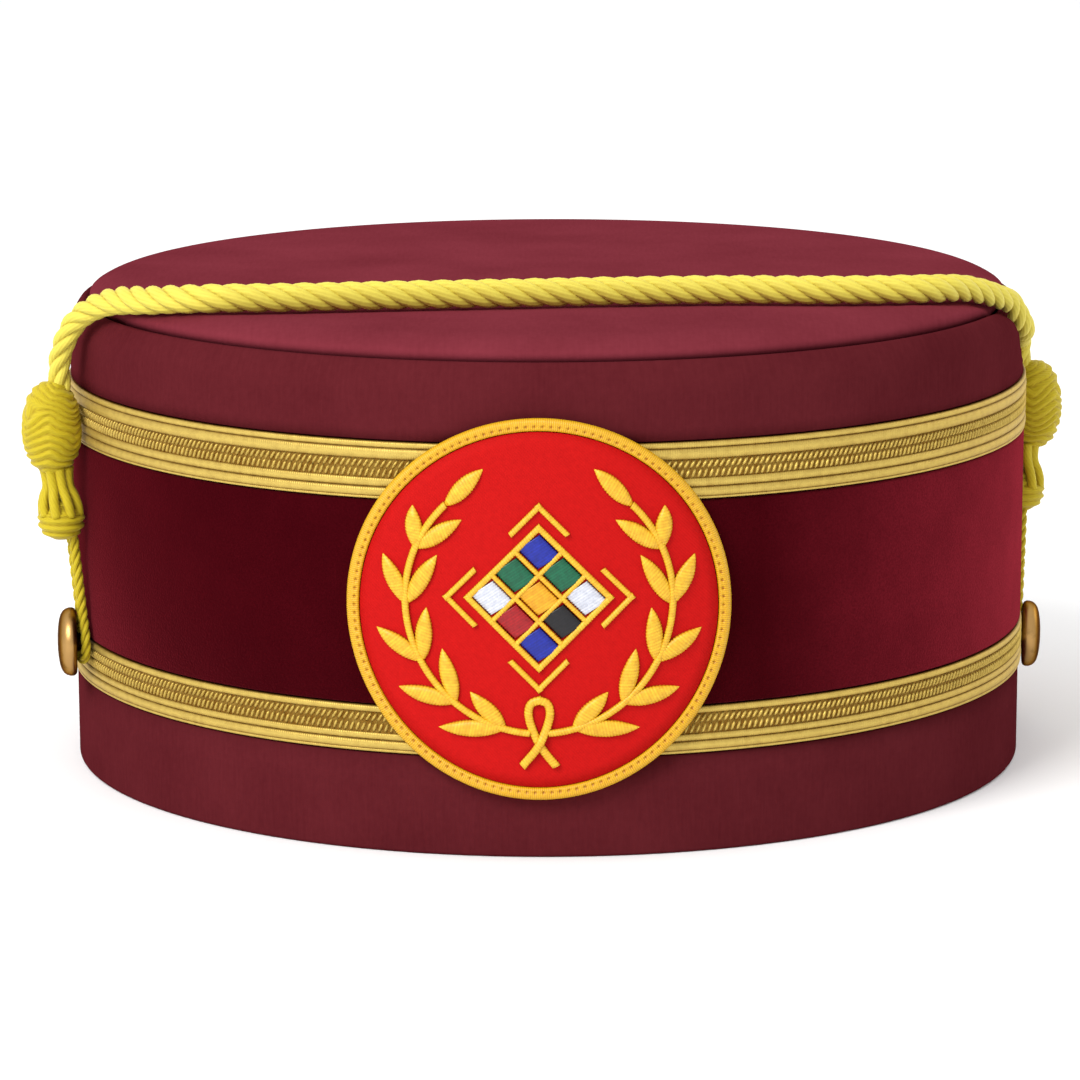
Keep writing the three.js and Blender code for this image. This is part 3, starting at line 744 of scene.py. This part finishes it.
def smooth_route(points, spacing):
    """Close points on a smooth run through a few, with even-handed tangents at each."""
    ends = [2 * points[0] - points[1], *points, 2 * points[-1] - points[-2]]
    steps = [math.sqrt((b - a).length) for a, b in zip(ends, ends[1:])]
    run = []
    for i in range(1, len(ends) - 2):
        before, here, there, after = ends[i - 1:i + 3]
        lead, span, trail = steps[i - 1:i + 2]
        leave = (here - before) / lead - (there - before) / (lead + span) + (there - here) / span
        arrive = (there - here) / span - (after - here) / (span + trail) + (after - there) / trail
        count = max(round((there - here).length / spacing), 2) + 1
        piece = interpolate_bezier(here, here + leave * span / 3, there - arrive * span / 3, there, count)
        run += piece[:-1] if i < len(ends) - 3 else piece
    return run


ribbon = new_stitching()
for hand, over in ((1, 1.0), (-1, 0.0)):
    route = [Vector((across * hand, up, 0)) for across, up in RIBBON_ROUTE]
    points = [spot.to_2d() for spot in smooth_route(route, THREAD / 2)]
    first_vert = len(ribbon.verts)
    lay_satin(ribbon, band_rows(points, RIBBON_WIDTH / 2), RIBBON_HIGH, RIBBON_BASE)
    ribbon.verts.ensure_lookup_table()
    for vert in ribbon.verts[first_vert:]:
        near = math.exp(-((vert.co.y - CROSSING) / CROSSING_REACH) ** 2)
        vert.co.z += over * near * CROSSING_LIFT
finish_piece("ribbon_bands", bent_on_wall(close_up(ribbon)), gold_thread, ["ribbon_tie"])

# Lozenge lattice in the middle of the badge: gold satin bars on a square that stands on its corner, a patch
# of coloured satin in each opening, and a chevron off each corner.
LATTICE_Y = 2.2
LATTICE_HALF = 9.4
LATTICE_RIM = 1.0
LATTICE_BAR = 0.8
CELLS = 3
BAR_HIGH = 0.8
LOWER_BAR_HIGH = 0.94 * BAR_HIGH
BAR_HALF_SHARE = 0.6
BAR_CLEAR = 0.1
CELL_HIGH = 0.55
CELL_CLEAR = 0.05
CHEVRON_ARM = 6.6
CHEVRON_WIDTH = 1.1
CHEVRON_CLEAR = 1.6
CELL_COLOURS = ("white", "green", "blue", "red", "gold", "green", "blue", "black", "white")
# Bright and deep screen colours of each thread, and a slot name for it
THREADS = {
    "white": ((236, 238, 246), (160, 166, 186), "white_thread"),
    "green": ((14, 110, 74), (4, 60, 40), "green_thread"),
    "blue": ((28, 46, 176), (10, 18, 96), "blue_thread"),
    "red": ((186, 18, 28), (104, 4, 10), "red_twill"),
    "gold": ((250, 186, 32), (190, 118, 8), "gold_thread"),
    "black": ((30, 28, 32), (8, 8, 10), "black_thread"),
}


def lay_bar(bm, start, end, half, high):
    start, end = Vector(start), Vector(end)
    count = 2 * round((end - start).length / THREAD) + 1
    points = [start.lerp(end, i / (count - 1)) for i in range(count)]
    lay_satin(bm, band_rows(points, half), high)


def set_on_corner(bm, quarter=0):
    """Turn flat stitching onto its corner, put it in the middle of the badge and bend it onto the wall."""
    turn = Matrix.Rotation(math.radians(45 + 90 * quarter), 4, "Z")
    bmesh.ops.transform(bm, matrix=Matrix.Translation((0, LATTICE_Y, 0)) @ turn, verts=bm.verts)
    return bent_on_wall(close_up(bm))


cell_pitch = (2 * (LATTICE_HALF - LATTICE_RIM) + LATTICE_BAR) / CELLS
cell_half = (cell_pitch - LATTICE_BAR) / 2
bars = new_stitching()
reach = LATTICE_HALF - BAR_CLEAR
for i in range(CELLS + 1):
    outermost = i in (0, CELLS)
    half = BAR_HALF_SHARE * (LATTICE_RIM if outermost else LATTICE_BAR)
    place = (i - CELLS / 2) * cell_pitch
    place += math.copysign((LATTICE_RIM - LATTICE_BAR) / 2, place) if outermost else 0
    lay_bar(bars, (place, -reach), (place, reach), half, BAR_HIGH)
    lay_bar(bars, (-reach, place), (reach, place), half, LOWER_BAR_HIGH)
finish_piece("lattice_bars", set_on_corner(bars), gold_thread, ["lattice_frame"])

thread_finishes = {
    name: thread_material(f"{name}_patch", from_screen(*bright), from_screen(*deep))
    for name, (bright, deep, _) in THREADS.items()
}
reach = cell_half - CELL_CLEAR
for i, colour in enumerate(CELL_COLOURS):
    x = (i % CELLS - 1) * cell_pitch
    y = (1 - i // CELLS) * cell_pitch
    patch = new_stitching()
    lay_bar(patch, (x, y - reach), (x, y + reach), reach, CELL_HIGH)
    finish_piece(
        f"patch_{i + 1}",
        set_on_corner(patch),
        thread_finishes[colour],
        [f"lattice_cell_{i + 1}"],
    )

inner = LATTICE_HALF + CHEVRON_CLEAR
middle = inner + CHEVRON_WIDTH / 2
end = inner - CHEVRON_ARM
corner = inner + CHEVRON_WIDTH - BAR_CLEAR
for quarter, side in enumerate(("right", "top", "left", "bottom")):
    chevron = new_stitching()
    lay_bar(chevron, (middle, end), (middle, corner), CHEVRON_WIDTH / 2, BAR_HIGH)
    lay_bar(chevron, (end, middle), (corner, middle), CHEVRON_WIDTH / 2, LOWER_BAR_HIGH)
    set_on_corner(chevron, quarter - 1)
    finish_piece(f"arrow_{side}", chevron, gold_thread, [f"chevron_{side}"])

# Buttons: pressed brass with a full round edge and a low dome, sewn on by a shank at each side of the cap
# and turned a little to the back by the pull of the cord's loop.
BUTTON_STEPS = 48
# For each side: angles of the knots and the button round the oval from the right, the button's own turn,
# heights, and how far off the wall the cord goes in, the strands and small knot hang, and the loop comes out
SIDES = {
    "left": {
        "knots": 199, "button": 200, "turn": -13,
        "large": 67.6, "small": 50.4, "button_up": 26.6,
        "cord_in": 4.7, "neck": 5.8, "small_lift": 5.1, "loop_out": 3.1,
    },
    "right": {
        "knots": 11.5, "button": 7, "turn": -13,
        "large": 63.2, "small": 46.2, "button_up": 18.7,
        "cord_in": 3.6, "neck": 4.7, "small_lift": 4.5, "loop_out": 4.2,
    },
}
# The button's section outward from the wall: radius, height and how dark it is painted, a painted shade and
# dark reflection on its back and dome that leaves a bright round edge
BUTTON_ROWS = (
    (0.0, 0.9, 1.0), (1.6, 0.9, 1.0), (1.6, 2.8, 1.0), (2.2, 3.0, 0.7), (5.3, 3.0, 0.6),
    (5.9, 3.08, 0.55), (6.3, 3.35, 0.4), (6.5, 3.8, 0.15), (6.48, 4.4, 0.0), (6.3, 5.0, 0.0),
    (5.9, 5.55, 0.15), (5.2, 6.0, 0.35), (4.2, 6.3, 0.4), (2.9, 6.5, 0.3), (1.5, 6.62, 0.2),
    (0.0, 6.65, 0.2),
)
BRASS_BRIGHT = from_screen(204, 160, 98)
BRASS_DARK = from_screen(84, 60, 32)


def brass_material():
    material, tree, shader = new_material("button_brass", 0.32, 0.5)
    place, _ = place_about_axis(tree)
    spots = add_node(tree, "TexNoise", {"Vector": place, "Scale": 420.0, "Detail": 5.0, "Roughness": 0.6})
    tarnish = spots.outputs[0]
    spotted = add_node(tree, "MapRange", {"Value": tarnish, "From Min": 0.55, "From Max": 1.0}).outputs[0]
    # Painted shade and dark reflection from the section, with random spots of tarnish
    mask = math_node(tree, "ADD", painted_shade_mask(tree), spotted, clamp=True)
    dress(tree, shader, mix_colour(tree, mask, BRASS_BRIGHT, BRASS_DARK), tarnish, 0.03, 0.3)
    rough = add_node(tree, "MapRange", {"Value": tarnish, "To Min": 0.24, "To Max": 0.46})
    tree.links.new(rough.outputs[0], shader.inputs["Roughness"])
    shader.inputs["Metallic"].default_value = 1.0
    shader.inputs["Specular Tint"].default_value = BRASS_DARK
    return material


brass = brass_material()
for side, spots in SIDES.items():
    stud = turned(BUTTON_ROWS, BUTTON_STEPS, closed=False)
    outward = Matrix.Translation((0, 0, spots["button_up"])) @ Matrix.Rotation(math.radians(90), 4, "Y")
    seat = on_wall(spots["button"]) @ Matrix.Rotation(math.radians(spots["turn"]), 4, "Z")
    bmesh.ops.transform(stud, matrix=seat @ outward, verts=stud.verts)
    finish_piece(f"stud_{side}", stud, brass, [f"button_{side}"])

# Dress cord: four strands of yellow rayon yarn laid up into a rope. It runs from the knots at one side over
# the crown to those at the other, and its own pull presses it into the padded cloth.
CORD = 5.4
CORD_STRANDS = 4
CORD_LAY = 17.0
LARGE_LIFT = 6.5
LARGE_HALF_HEIGHT = 8.7
CORD_STRAIGHT = 3.0
CORD_TUCK = 2.5
CORD_SPACING = 0.7
CORD_SIDES = 12
STRAND_PRESS = 1.12
PLY_LINES = 9.0
PLY_SLANT = 0.7
# Places over the top from the left knots to the right ones, seen from above, with a height where the cord is
# off the crown or has slid down its side
CORD_ROUTE = (
    (-90.1, -36.3, 84.3), (-87.4, -38.1, 88.6), (-81.6, -43.6, 92.2), (-72.0, -53.2), (-62.5, -58.4),
    (-48.8, -57.4), (-27.0, -54.2), (-5.0, -51.4), (14.0, -48.8), (34.0, -47.4), (54.0, -48.4),
    (67.0, -46.6), (72.9, -42.9), (77.6, -37.8), (83.2, -32.0), (87.2, -27.2), (90.3, -23.0),
    (94.2, -13.4, 83.5), (95.1, 2.0, 79.5),
)
# How deep the cord is pressed in, from left to right across the cap
PRESS_ROWS = (
    (-80.0, 0.0), (-70.0, 0.5), (65.0, 0.5), (77.6, 1.2), (83.2, 1.8), (87.2, 2.4), (90.3, 3.0),
    (95.1, 3.2),
)
PRESS_REACH = 3.4
# How much the cord's pull thins it, from left to right
THIN_ROWS = ((-91.0, 0.8), (-78.0, 1.0), (72.0, 1.0), (90.0, 0.8))
# The cord's yarn is painted paler than the same yarn in the knots: painted light where it lies on top
CORD_LIT_BRIGHT = from_screen(237, 220, 88)
CORD_LIT_DEEP = from_screen(168, 132, 18)
YARN_SHEEN = from_screen(255, 244, 190)


def from_rows(rows, x):
    """A value read from rows of (place, value), straight between them."""
    if x <= rows[0][0]:
        return rows[0][1]
    for (x0, y0), (x1, y1) in zip(rows, rows[1:]):
        if x <= x1:
            return y0 + (y1 - y0) * (x - x0) / (x1 - x0)
    return rows[-1][1]


def crown_normal(x, y):
    """The way that the crown's rounded top faces at a place seen from above."""
    past = min(max(math.hypot(x, y / OVAL) - TOP_FLAT, 0) / SHOULDER_OUT, 1.0)
    outward = Vector((x, y / OVAL ** 2, 0)).normalized()
    return (outward * past + Vector((0, 0, math.sqrt(1 - past * past)))).normalized()


def cord_place(x, y, height=None):
    """The cord's middle where it lies on the crown, pressed into the cloth there."""
    off = CORD / 2 + GAP
    past = max(math.hypot(x, y / OVAL) - TOP_FLAT, 0) / (SHOULDER_OUT + off)
    up = HEIGHT - SHOULDER_UP + (SHOULDER_UP + off) * math.sqrt(max(1 - past * past, 0))
    return Vector((x, y, height or up)) - crown_normal(x, y) * from_rows(PRESS_ROWS, x)


def knot_top(side):
    spots = SIDES[side]
    return on_wall(spots["knots"]) @ Vector((spots["cord_in"], 0, spots["large"] + LARGE_HALF_HEIGHT + GAP))


def carried_frames(points):
    """A direction across the run at each point, carried along without twist."""
    out = Vector((0, 0, 1))
    frames = []
    for i, point in enumerate(points):
        along = (points[min(i + 1, len(points) - 1)] - points[max(i - 1, 0)]).normalized()
        out = out - along * out.dot(along)
        if out.length < 0.05:
            out = along.orthogonal()
        out = out.normalized()
        frames.append((along, out.copy()))
    return frames


def sweep_strand(bm, centres, outs, radii, sides):
    """A round strand along its centres, its first corner facing out, with its length and turn as UVs."""
    uv = bm.loops.layers.uv.verify()
    radii = [0.0, *radii, 0.0]
    centres = [centres[0], *centres, centres[-1]]
    outs = [outs[0], *outs, outs[-1]]
    last = len(centres) - 1
    grid = bmesh.ops.create_grid(bm, x_segments=last, y_segments=sides, size=0.5, calc_uvs=True)
    faces = {face for vert in grid["verts"] for face in vert.link_faces}
    length = sum((b - a).length for a, b in zip(centres, centres[1:]))
    for face in faces:
        for loop in face.loops:
            loop[uv].uv.x *= length
    sections = []
    for i, centre in enumerate(centres):
        along = (centres[min(i + 1, last)] - centres[max(i - 1, 0)]).normalized()
        side = along.cross(outs[i]).normalized()
        sections.append((centre, side.cross(along), side, radii[i]))
    for vert in grid["verts"]:
        centre, out, side, size = sections[round((vert.co.x + 0.5) * last)]
        turn = (vert.co.y + 0.5) * math.tau
        vert.co = centre + (out * math.cos(turn) + side * math.sin(turn)) * size


def twist_cord(bm, points, strands, width, lay, sides, thin=((0.0, 1.0),)):
    """Strands laid up round a run of points into a cord of that width, pressed a little into each other."""
    packed = math.sin(math.pi / strands)
    radius = width / 2 * packed / (1 + packed) * STRAND_PRESS
    reach = width / 2 - radius
    frames = carried_frames(points)
    lengths = [0.0]
    for a, b in zip(points, points[1:]):
        lengths.append(lengths[-1] + (b - a).length)
    for strand in range(strands):
        centres, outs = [], []
        for point, (along, out), run in zip(points, frames, lengths):
            turn = math.tau * (run / lay + strand / strands)
            away = out * math.cos(turn) + along.cross(out) * math.sin(turn)
            centres.append(point + away * reach * from_rows(thin, point.x))
            outs.append(away)
        sweep_strand(bm, centres, outs, [radius * from_rows(thin, point.x) for point in points], sides)


def yarn_material(name, bright, deep):
    material, tree, shader = new_material(name, 0.6, 0.2)
    place, _ = place_about_axis(tree)
    run = add_node(tree, "SeparateXYZ", {0: add_node(tree, "UVMap", uv_map="UVMap").outputs[0]}).outputs
    # Painted shade: darker on the side of each strand that faces into the cord, and between the plies
    facing = math_node(tree, "COSINE", math_node(tree, "MULTIPLY", run[1], math.tau))
    inward_shade = add_node(tree, "MapRange", {"Value": facing, "From Min": 0.5, "From Max": -0.8}).outputs[0]
    around = math_node(tree, "MULTIPLY", run[1], PLY_LINES)
    slanted = math_node(tree, "ADD", around, math_node(tree, "MULTIPLY", run[0], PLY_SLANT))
    ply = math_node(tree, "SINE", math_node(tree, "MULTIPLY", slanted, math.tau))
    given = {"Place": place, "Scale": 800.0, "Painted Shade": inward_shade, "Level": 0.55, "Contrast": 0.4}
    given["Ridges"] = math_node(tree, "MULTIPLY", ply, 0.3)
    dress_in_fibre(tree, shader, given, bright, deep)
    shader.inputs["Sheen Weight"].default_value = 0.15
    shader.inputs["Sheen Tint"].default_value = YARN_SHEEN
    return material


def over_crown(place):
    """How far a place is off the crown's padded skin."""
    past = math.hypot(place.x, place.y / OVAL) - TOP_FLAT
    above = place.z - (HEIGHT - SHOULDER_UP)
    if above <= 0:
        return past - SHOULDER_OUT
    if past <= 0:
        return above - SHOULDER_UP
    return (math.hypot(past / SHOULDER_OUT, above / SHOULDER_UP) - 1) * (SHOULDER_OUT + SHOULDER_UP) / 2


def press_groove(piece, points):
    """Press the cloth down beside and under the cord, deepest along its line."""
    spots = []
    for point in points[::3]:
        half = CORD / 2 * from_rows(THIN_ROWS, point.x)
        spots.append((point, half, max(half + GAP - over_crown(point), 0)))
    for vert in piece.data.vertices:
        here = (vert.co - AXIS) / MM
        if here.z < HEIGHT - 2 * SHOULDER_UP:
            continue
        nearest, half, press = min(spots, key=lambda spot: (spot[0] - here).length_squared)
        beside = math.sqrt(max((nearest - here).length_squared - half ** 2, 0))
        if beside < 3 * PRESS_REACH:
            sunk = press * math.exp(-((beside / PRESS_REACH) ** 2))
            vert.co -= crown_normal(here.x, here.y) * sunk * MM


lying = [cord_place(*spot) for spot in CORD_ROUTE]
straight = Vector((0, 0, CORD_STRAIGHT))
tuck = Vector((0, 0, CORD_TUCK))
left_top, right_top = knot_top("left"), knot_top("right")
cord_points = [left_top - tuck, left_top + straight, *lying, right_top + straight, right_top - tuck]
cord_run = smooth_route(cord_points, CORD_SPACING)
for piece in (side_cloth, top_cloth):
    press_groove(piece, cord_run)
lit_cord_yarn = yarn_material("lit_cord_yarn", CORD_LIT_BRIGHT, CORD_LIT_DEEP)
rope = bmesh.new()
rope.loops.layers.uv.new("UVMap")
twist_cord(rope, cord_run, CORD_STRANDS, CORD, CORD_LAY, CORD_SIDES, THIN_ROWS)
twisted_cord = finish_piece("twisted_cord", close_up(rope), lit_cord_yarn, ["dress_cord"])

# Sliding knots: a large and a small one at each side, wound from the cord's own strands over a core. The
# large one has slanted wraps at its top, zigzag ones round its middle and plain ones under them. The small
# one's plain wraps lie over the bare strands that come down to it.
LARGE_KNOT = 5.6
SMALL_KNOT = 4.5
SMALL_HALF_HEIGHT = 4.3
# Rows upward: share of the half height, share of the radius
LARGE_ROWS = (
    (-1.0, 0.0), (-0.98, 0.36), (-0.9, 0.56), (-0.78, 0.74), (-0.6, 0.88), (-0.36, 0.98), (-0.1, 1.02),
    (0.15, 1.0), (0.35, 0.96), (0.52, 0.9), (0.7, 0.79), (0.84, 0.64), (0.94, 0.46), (0.99, 0.3), (1.0, 0.0),
)
SMALL_ROWS = (
    (-1.0, 0.0), (-0.97, 0.34), (-0.88, 0.58), (-0.72, 0.79), (-0.5, 0.94), (-0.25, 1.0), (0.05, 1.0),
    (0.2, 0.96), (0.27, 0.78), (0.6, 0.66), (1.0, 0.4), (1.0, 0.0),
)
KNOT_AROUND = 120
KNOT_UP = 110
WRAP_PITCH = 1.5
WRAP_RELIEF = 0.46
WRAP_TURN = 0.27
ZIGZAGS = 3
ZIGZAG_START = 0.92
ZIGZAG_RISE = 1.2
ZIGZAG_SHARP = 0.95
ZIGZAG_FOOT = (-6.8, -3.0)
ZIGZAG_HEAD = (6.0, 2.4)
TOP_SLANT = 2.0
TOP_SLANT_TURN = 1.3
TOP_SLANT_RISE = (1.0, 5.5)
# The same yarn as the cord's, painted deeper where it hangs at the sides in less light
KNOT_BRIGHT = from_screen(209, 187, 32)
KNOT_DEEP = from_screen(146, 110, 4)
NECK_STRANDS = 8
NECK_STRAND = 0.98
NECK_TWIST = 0.35
NECK_STEPS = 16
NECK_SIDES = 10
NECK_IN_LARGE = 1.2
NECK_IN_SMALL = 0.4
# Rows downward: share of the fall from knot to knot, distance of the bare strands from the middle
NECK_ROWS = ((0.0, 2.4), (0.15, 2.2), (0.35, 2.15), (0.48, 2.4), (0.6, 3.0), (0.78, 3.45), (1.0, 3.45))


def eased(start, end, x):
    """0 before the start and 1 past the end, with a soft change between."""
    share = max(0.0, min(1.0, (x - start) / (end - start)))
    return share * share * (3 - 2 * share)


def large_wraps(turn, z):
    """How many strands lie under a place on the large knot."""
    swing = math.sin(ZIGZAGS * turn + ZIGZAG_START)
    wave = math.asin(ZIGZAG_SHARP * swing) / math.asin(ZIGZAG_SHARP)
    middle = eased(*ZIGZAG_FOOT, z) * eased(*ZIGZAG_HEAD, z)
    slant = TOP_SLANT * math.sin(turn - TOP_SLANT_TURN) * eased(*TOP_SLANT_RISE, z)
    uneven = 0.2 * math.sin(2 * turn + 0.6 * z) + 0.15 * math.sin(5 * turn - 0.9 * z)
    return (z + ZIGZAG_RISE * wave * middle + slant + uneven) / WRAP_PITCH


def small_wraps(turn, z):
    return (z + 0.25 * math.sin(turn)) / WRAP_PITCH + 0.5


def wind_knot(rows, radius, half_height, wraps):
    """A knot's body with a rounded ridge for each strand wound on it, and painted shade in the valleys
    between.
    """
    bm = bmesh.new()
    uv = bm.loops.layers.uv.new("UVMap")
    bmesh.ops.create_grid(bm, x_segments=KNOT_AROUND, y_segments=KNOT_UP, size=0.5, calc_uvs=True)
    painted_shade = {}
    for vert in bm.verts:
        turn = (vert.co.x + 0.5) * math.tau
        z = 2 * vert.co.y * half_height
        strand = wraps(turn, z)
        aside = abs(2 * (strand - math.floor(strand)) - 1)
        reach = from_rows(rows, z / half_height) * radius
        reach -= WRAP_RELIEF * (1 - math.cos(math.pi * aside)) / 2 * min(reach / 2, 1.0)
        painted_shade[vert] = aside
        vert.co = (reach * math.cos(turn), reach * math.sin(turn), z)
    # The UV's second number carries the painted shade to the yarn's material
    for face in bm.faces:
        for loop in face.loops:
            loop[uv].uv = (loop[uv].uv.x * math.tau * radius, WRAP_TURN * painted_shade[loop.vert])
    return bm


def bare_strands(spots):
    """Strands that leave the large knot, draw together and spread over the top of the small one."""
    bm = bmesh.new()
    bm.loops.layers.uv.new("UVMap")
    top = Vector((spots["neck"], 0, spots["large"] - LARGE_HALF_HEIGHT + NECK_IN_LARGE))
    bottom = Vector((spots["small_lift"], 0, spots["small"] + NECK_IN_SMALL))
    for i in range(NECK_STRANDS):
        centres, outs = [], []
        for k in range(NECK_STEPS + 1):
            share = k / NECK_STEPS
            turn = math.tau * i / NECK_STRANDS + NECK_TWIST * share
            out = Vector((math.cos(turn), math.sin(turn), 0))
            centres.append(top.lerp(bottom, share) + out * from_rows(NECK_ROWS, share))
            outs.append(out)
        sweep_strand(bm, centres, outs, [NECK_STRAND] * len(centres), NECK_SIDES)
    return bm


knot_yarn = yarn_material("knot_yarn", KNOT_BRIGHT, KNOT_DEEP)
for side, spots in SIDES.items():
    hang = on_wall(spots["knots"])
    large = wind_knot(LARGE_ROWS, LARGE_KNOT, LARGE_HALF_HEIGHT, large_wraps)
    bmesh.ops.translate(large, vec=(LARGE_LIFT, 0, spots["large"]), verts=large.verts)
    small = wind_knot(SMALL_ROWS, SMALL_KNOT, SMALL_HALF_HEIGHT, small_wraps)
    bmesh.ops.translate(small, vec=(spots["small_lift"], 0, spots["small"]), verts=small.verts)
    for name, node, knot in (
        (f"braided_knot_{side}", f"large_knot_{side}", large),
        (f"end_knot_{side}", f"small_knot_{side}", small),
        (f"bare_strands_{side}", f"knot_neck_{side}", bare_strands(spots)),
    ):
        bmesh.ops.transform(close_up(knot), matrix=hang, verts=knot.verts)
        finish_piece(name, knot, knot_yarn, [node])

# Button loops: a thin cord comes out under the small knot, hangs straight down, goes round the shank behind
# the button and runs back up beside its own first leg.
LOOP_CORD = 2.0
LOOP_STRANDS = 3
LOOP_SIDES = 10
LOOP_SPACING = 0.5
LOOP_LAY = 6.6
LOOP_IN_KNOT = 0.9
LOOP_LIFT = 2.0
LEG = 1.0
LEG_STEPS = 4
SEAT = 2.75
SEAT_TOP = 1.8
# Half the ring round the shank, as shares of the seat: along the wall and up
RING_ROWS = ((0.8, 0.9), (1.0, 0.0), (0.75, -0.85))
RING_BOTTOM = 1.2


def loop_half(spots, hand):
    """One leg from the knot down to the ring, and that side of the ring."""
    lean = math.radians(spots["knots"] - spots["button"]) * HALF_DEPTH
    start = spots["small"] - SMALL_HALF_HEIGHT + LOOP_IN_KNOT
    fall = start - spots["button_up"] - SEAT_TOP * SEAT
    rows = []
    for k in range(LEG_STEPS + 1):
        left = 1 - k / LEG_STEPS
        lift = LOOP_LIFT + (spots["loop_out"] - LOOP_LIFT) * left
        rows.append(Vector((lift, lean * left + hand * LEG, start - fall * (1 - left))))
    for along, up in RING_ROWS:
        rows.append(Vector((LOOP_LIFT, hand * along * SEAT, spots["button_up"] + up * SEAT)))
    return rows


for side, spots in SIDES.items():
    under = Vector((LOOP_LIFT, 0, spots["button_up"] - RING_BOTTOM * SEAT))
    route = [*loop_half(spots, 1), under, *reversed(loop_half(spots, -1))]
    loop_mesh = bmesh.new()
    loop_mesh.loops.layers.uv.new("UVMap")
    loop_run = smooth_route(route, LOOP_SPACING)
    twist_cord(loop_mesh, loop_run, LOOP_STRANDS, LOOP_CORD, LOOP_LAY, LOOP_SIDES)
    close_up(loop_mesh)
    bmesh.ops.transform(loop_mesh, matrix=on_wall(spots["button"]), verts=loop_mesh.verts)
    loop = finish_piece(f"button_loop_{side}", loop_mesh, knot_yarn, [f"cord_loop_{side}"])

# Studio: a plain pale floor, a white room that is a little brighter on the left, a large soft light from the
# front left above and a weak one along the right edge. The camera stands a metre in front, a little above
# the cap.
FLOOR_SIDE = 6.0
FLOOR_PALE = (0.93, 0.93, 0.93, 1.0)
FLOOR_PALER = (0.96, 0.96, 0.96, 1.0)
CAMERA_AIM = Vector((-1.47, 0.0, 39.74))
CAMERA_DISTANCE = 1038.7
CAMERA_ELEVATION = math.radians(9.95)
CAMERA_ROLL = math.radians(-0.15)
IMAGE_SIDE = 1080
FOCAL_PIXELS = 5325
SENSOR = 36.0
ROOM_GLOW = 1.0
ROOM_SLOPE = 0.08
LIGHT_AIM = Vector((0, 0, 0.04))
# Each light's place and size in metres, and its power in watts
LIGHTS = {
    "key_light": ((-0.9, -1.3, 1.3), 0.9, 30.0),
    "edge_light": ((1.2, 0.8, 0.4), 0.7, 3.0),
}


def floor_material():
    material, tree, shader = new_material("pale_floor", 0.8, 0.1)
    place, _ = place_about_axis(tree)
    cloudy = add_node(tree, "TexNoise", {"Vector": place, "Scale": 3.0, "Detail": 2.0})
    tree.links.new(mix_colour(tree, cloudy.outputs[0], FLOOR_PALE, FLOOR_PALER), shader.inputs["Base Color"])
    return material


floor_mesh = bpy.data.meshes.new("floor")
floor_form = bmesh.new()
bmesh.ops.create_grid(floor_form, x_segments=1, y_segments=1, size=FLOOR_SIDE / 2)
floor_form.to_mesh(floor_mesh)
floor_form.free()
floor_mesh.materials.append(floor_material())
floor = bpy.data.objects.new("floor", floor_mesh)
bpy.context.scene.collection.objects.link(floor)

for name, (place, size, power) in LIGHTS.items():
    soft_box = bpy.data.lights.new(name, "AREA")
    soft_box.size = size
    soft_box.energy = power
    light = bpy.data.objects.new(name, soft_box)
    light.location = place
    light.rotation_euler = (LIGHT_AIM - Vector(place)).to_track_quat("-Z", "Y").to_euler()
    bpy.context.scene.collection.objects.link(light)

world = bpy.data.worlds.new("white_room")
world.use_nodes = True
room = world.node_tree
toward = add_node(room, "SeparateXYZ", {0: add_node(room, "TexCoord").outputs["Generated"]}).outputs
glow = math_node(room, "SUBTRACT", ROOM_GLOW, math_node(room, "MULTIPLY", toward[0], ROOM_SLOPE))
room.nodes["Background"].inputs["Color"].default_value = (1.0, 1.0, 1.0, 1.0)
room.links.new(glow, room.nodes["Background"].inputs["Strength"])
bpy.context.scene.world = world
bpy.context.scene.view_settings.view_transform = "Standard"

camera_data = bpy.data.cameras.new("camera")
camera_data.sensor_fit = "HORIZONTAL"
camera_data.sensor_width = SENSOR
camera_data.lens = FOCAL_PIXELS / IMAGE_SIDE * SENSOR
camera = bpy.data.objects.new("camera", camera_data)
back = Vector((0, -math.cos(CAMERA_ELEVATION), math.sin(CAMERA_ELEVATION)))
camera.location = (CAMERA_AIM + back * CAMERA_DISTANCE) * MM + AXIS
facing = (-back).to_track_quat("-Z", "Y").to_matrix().to_4x4()
camera.rotation_euler = (facing @ Matrix.Rotation(CAMERA_ROLL, 4, "Z")).to_euler()
bpy.context.scene.collection.objects.link(camera)
bpy.context.scene.camera = camera
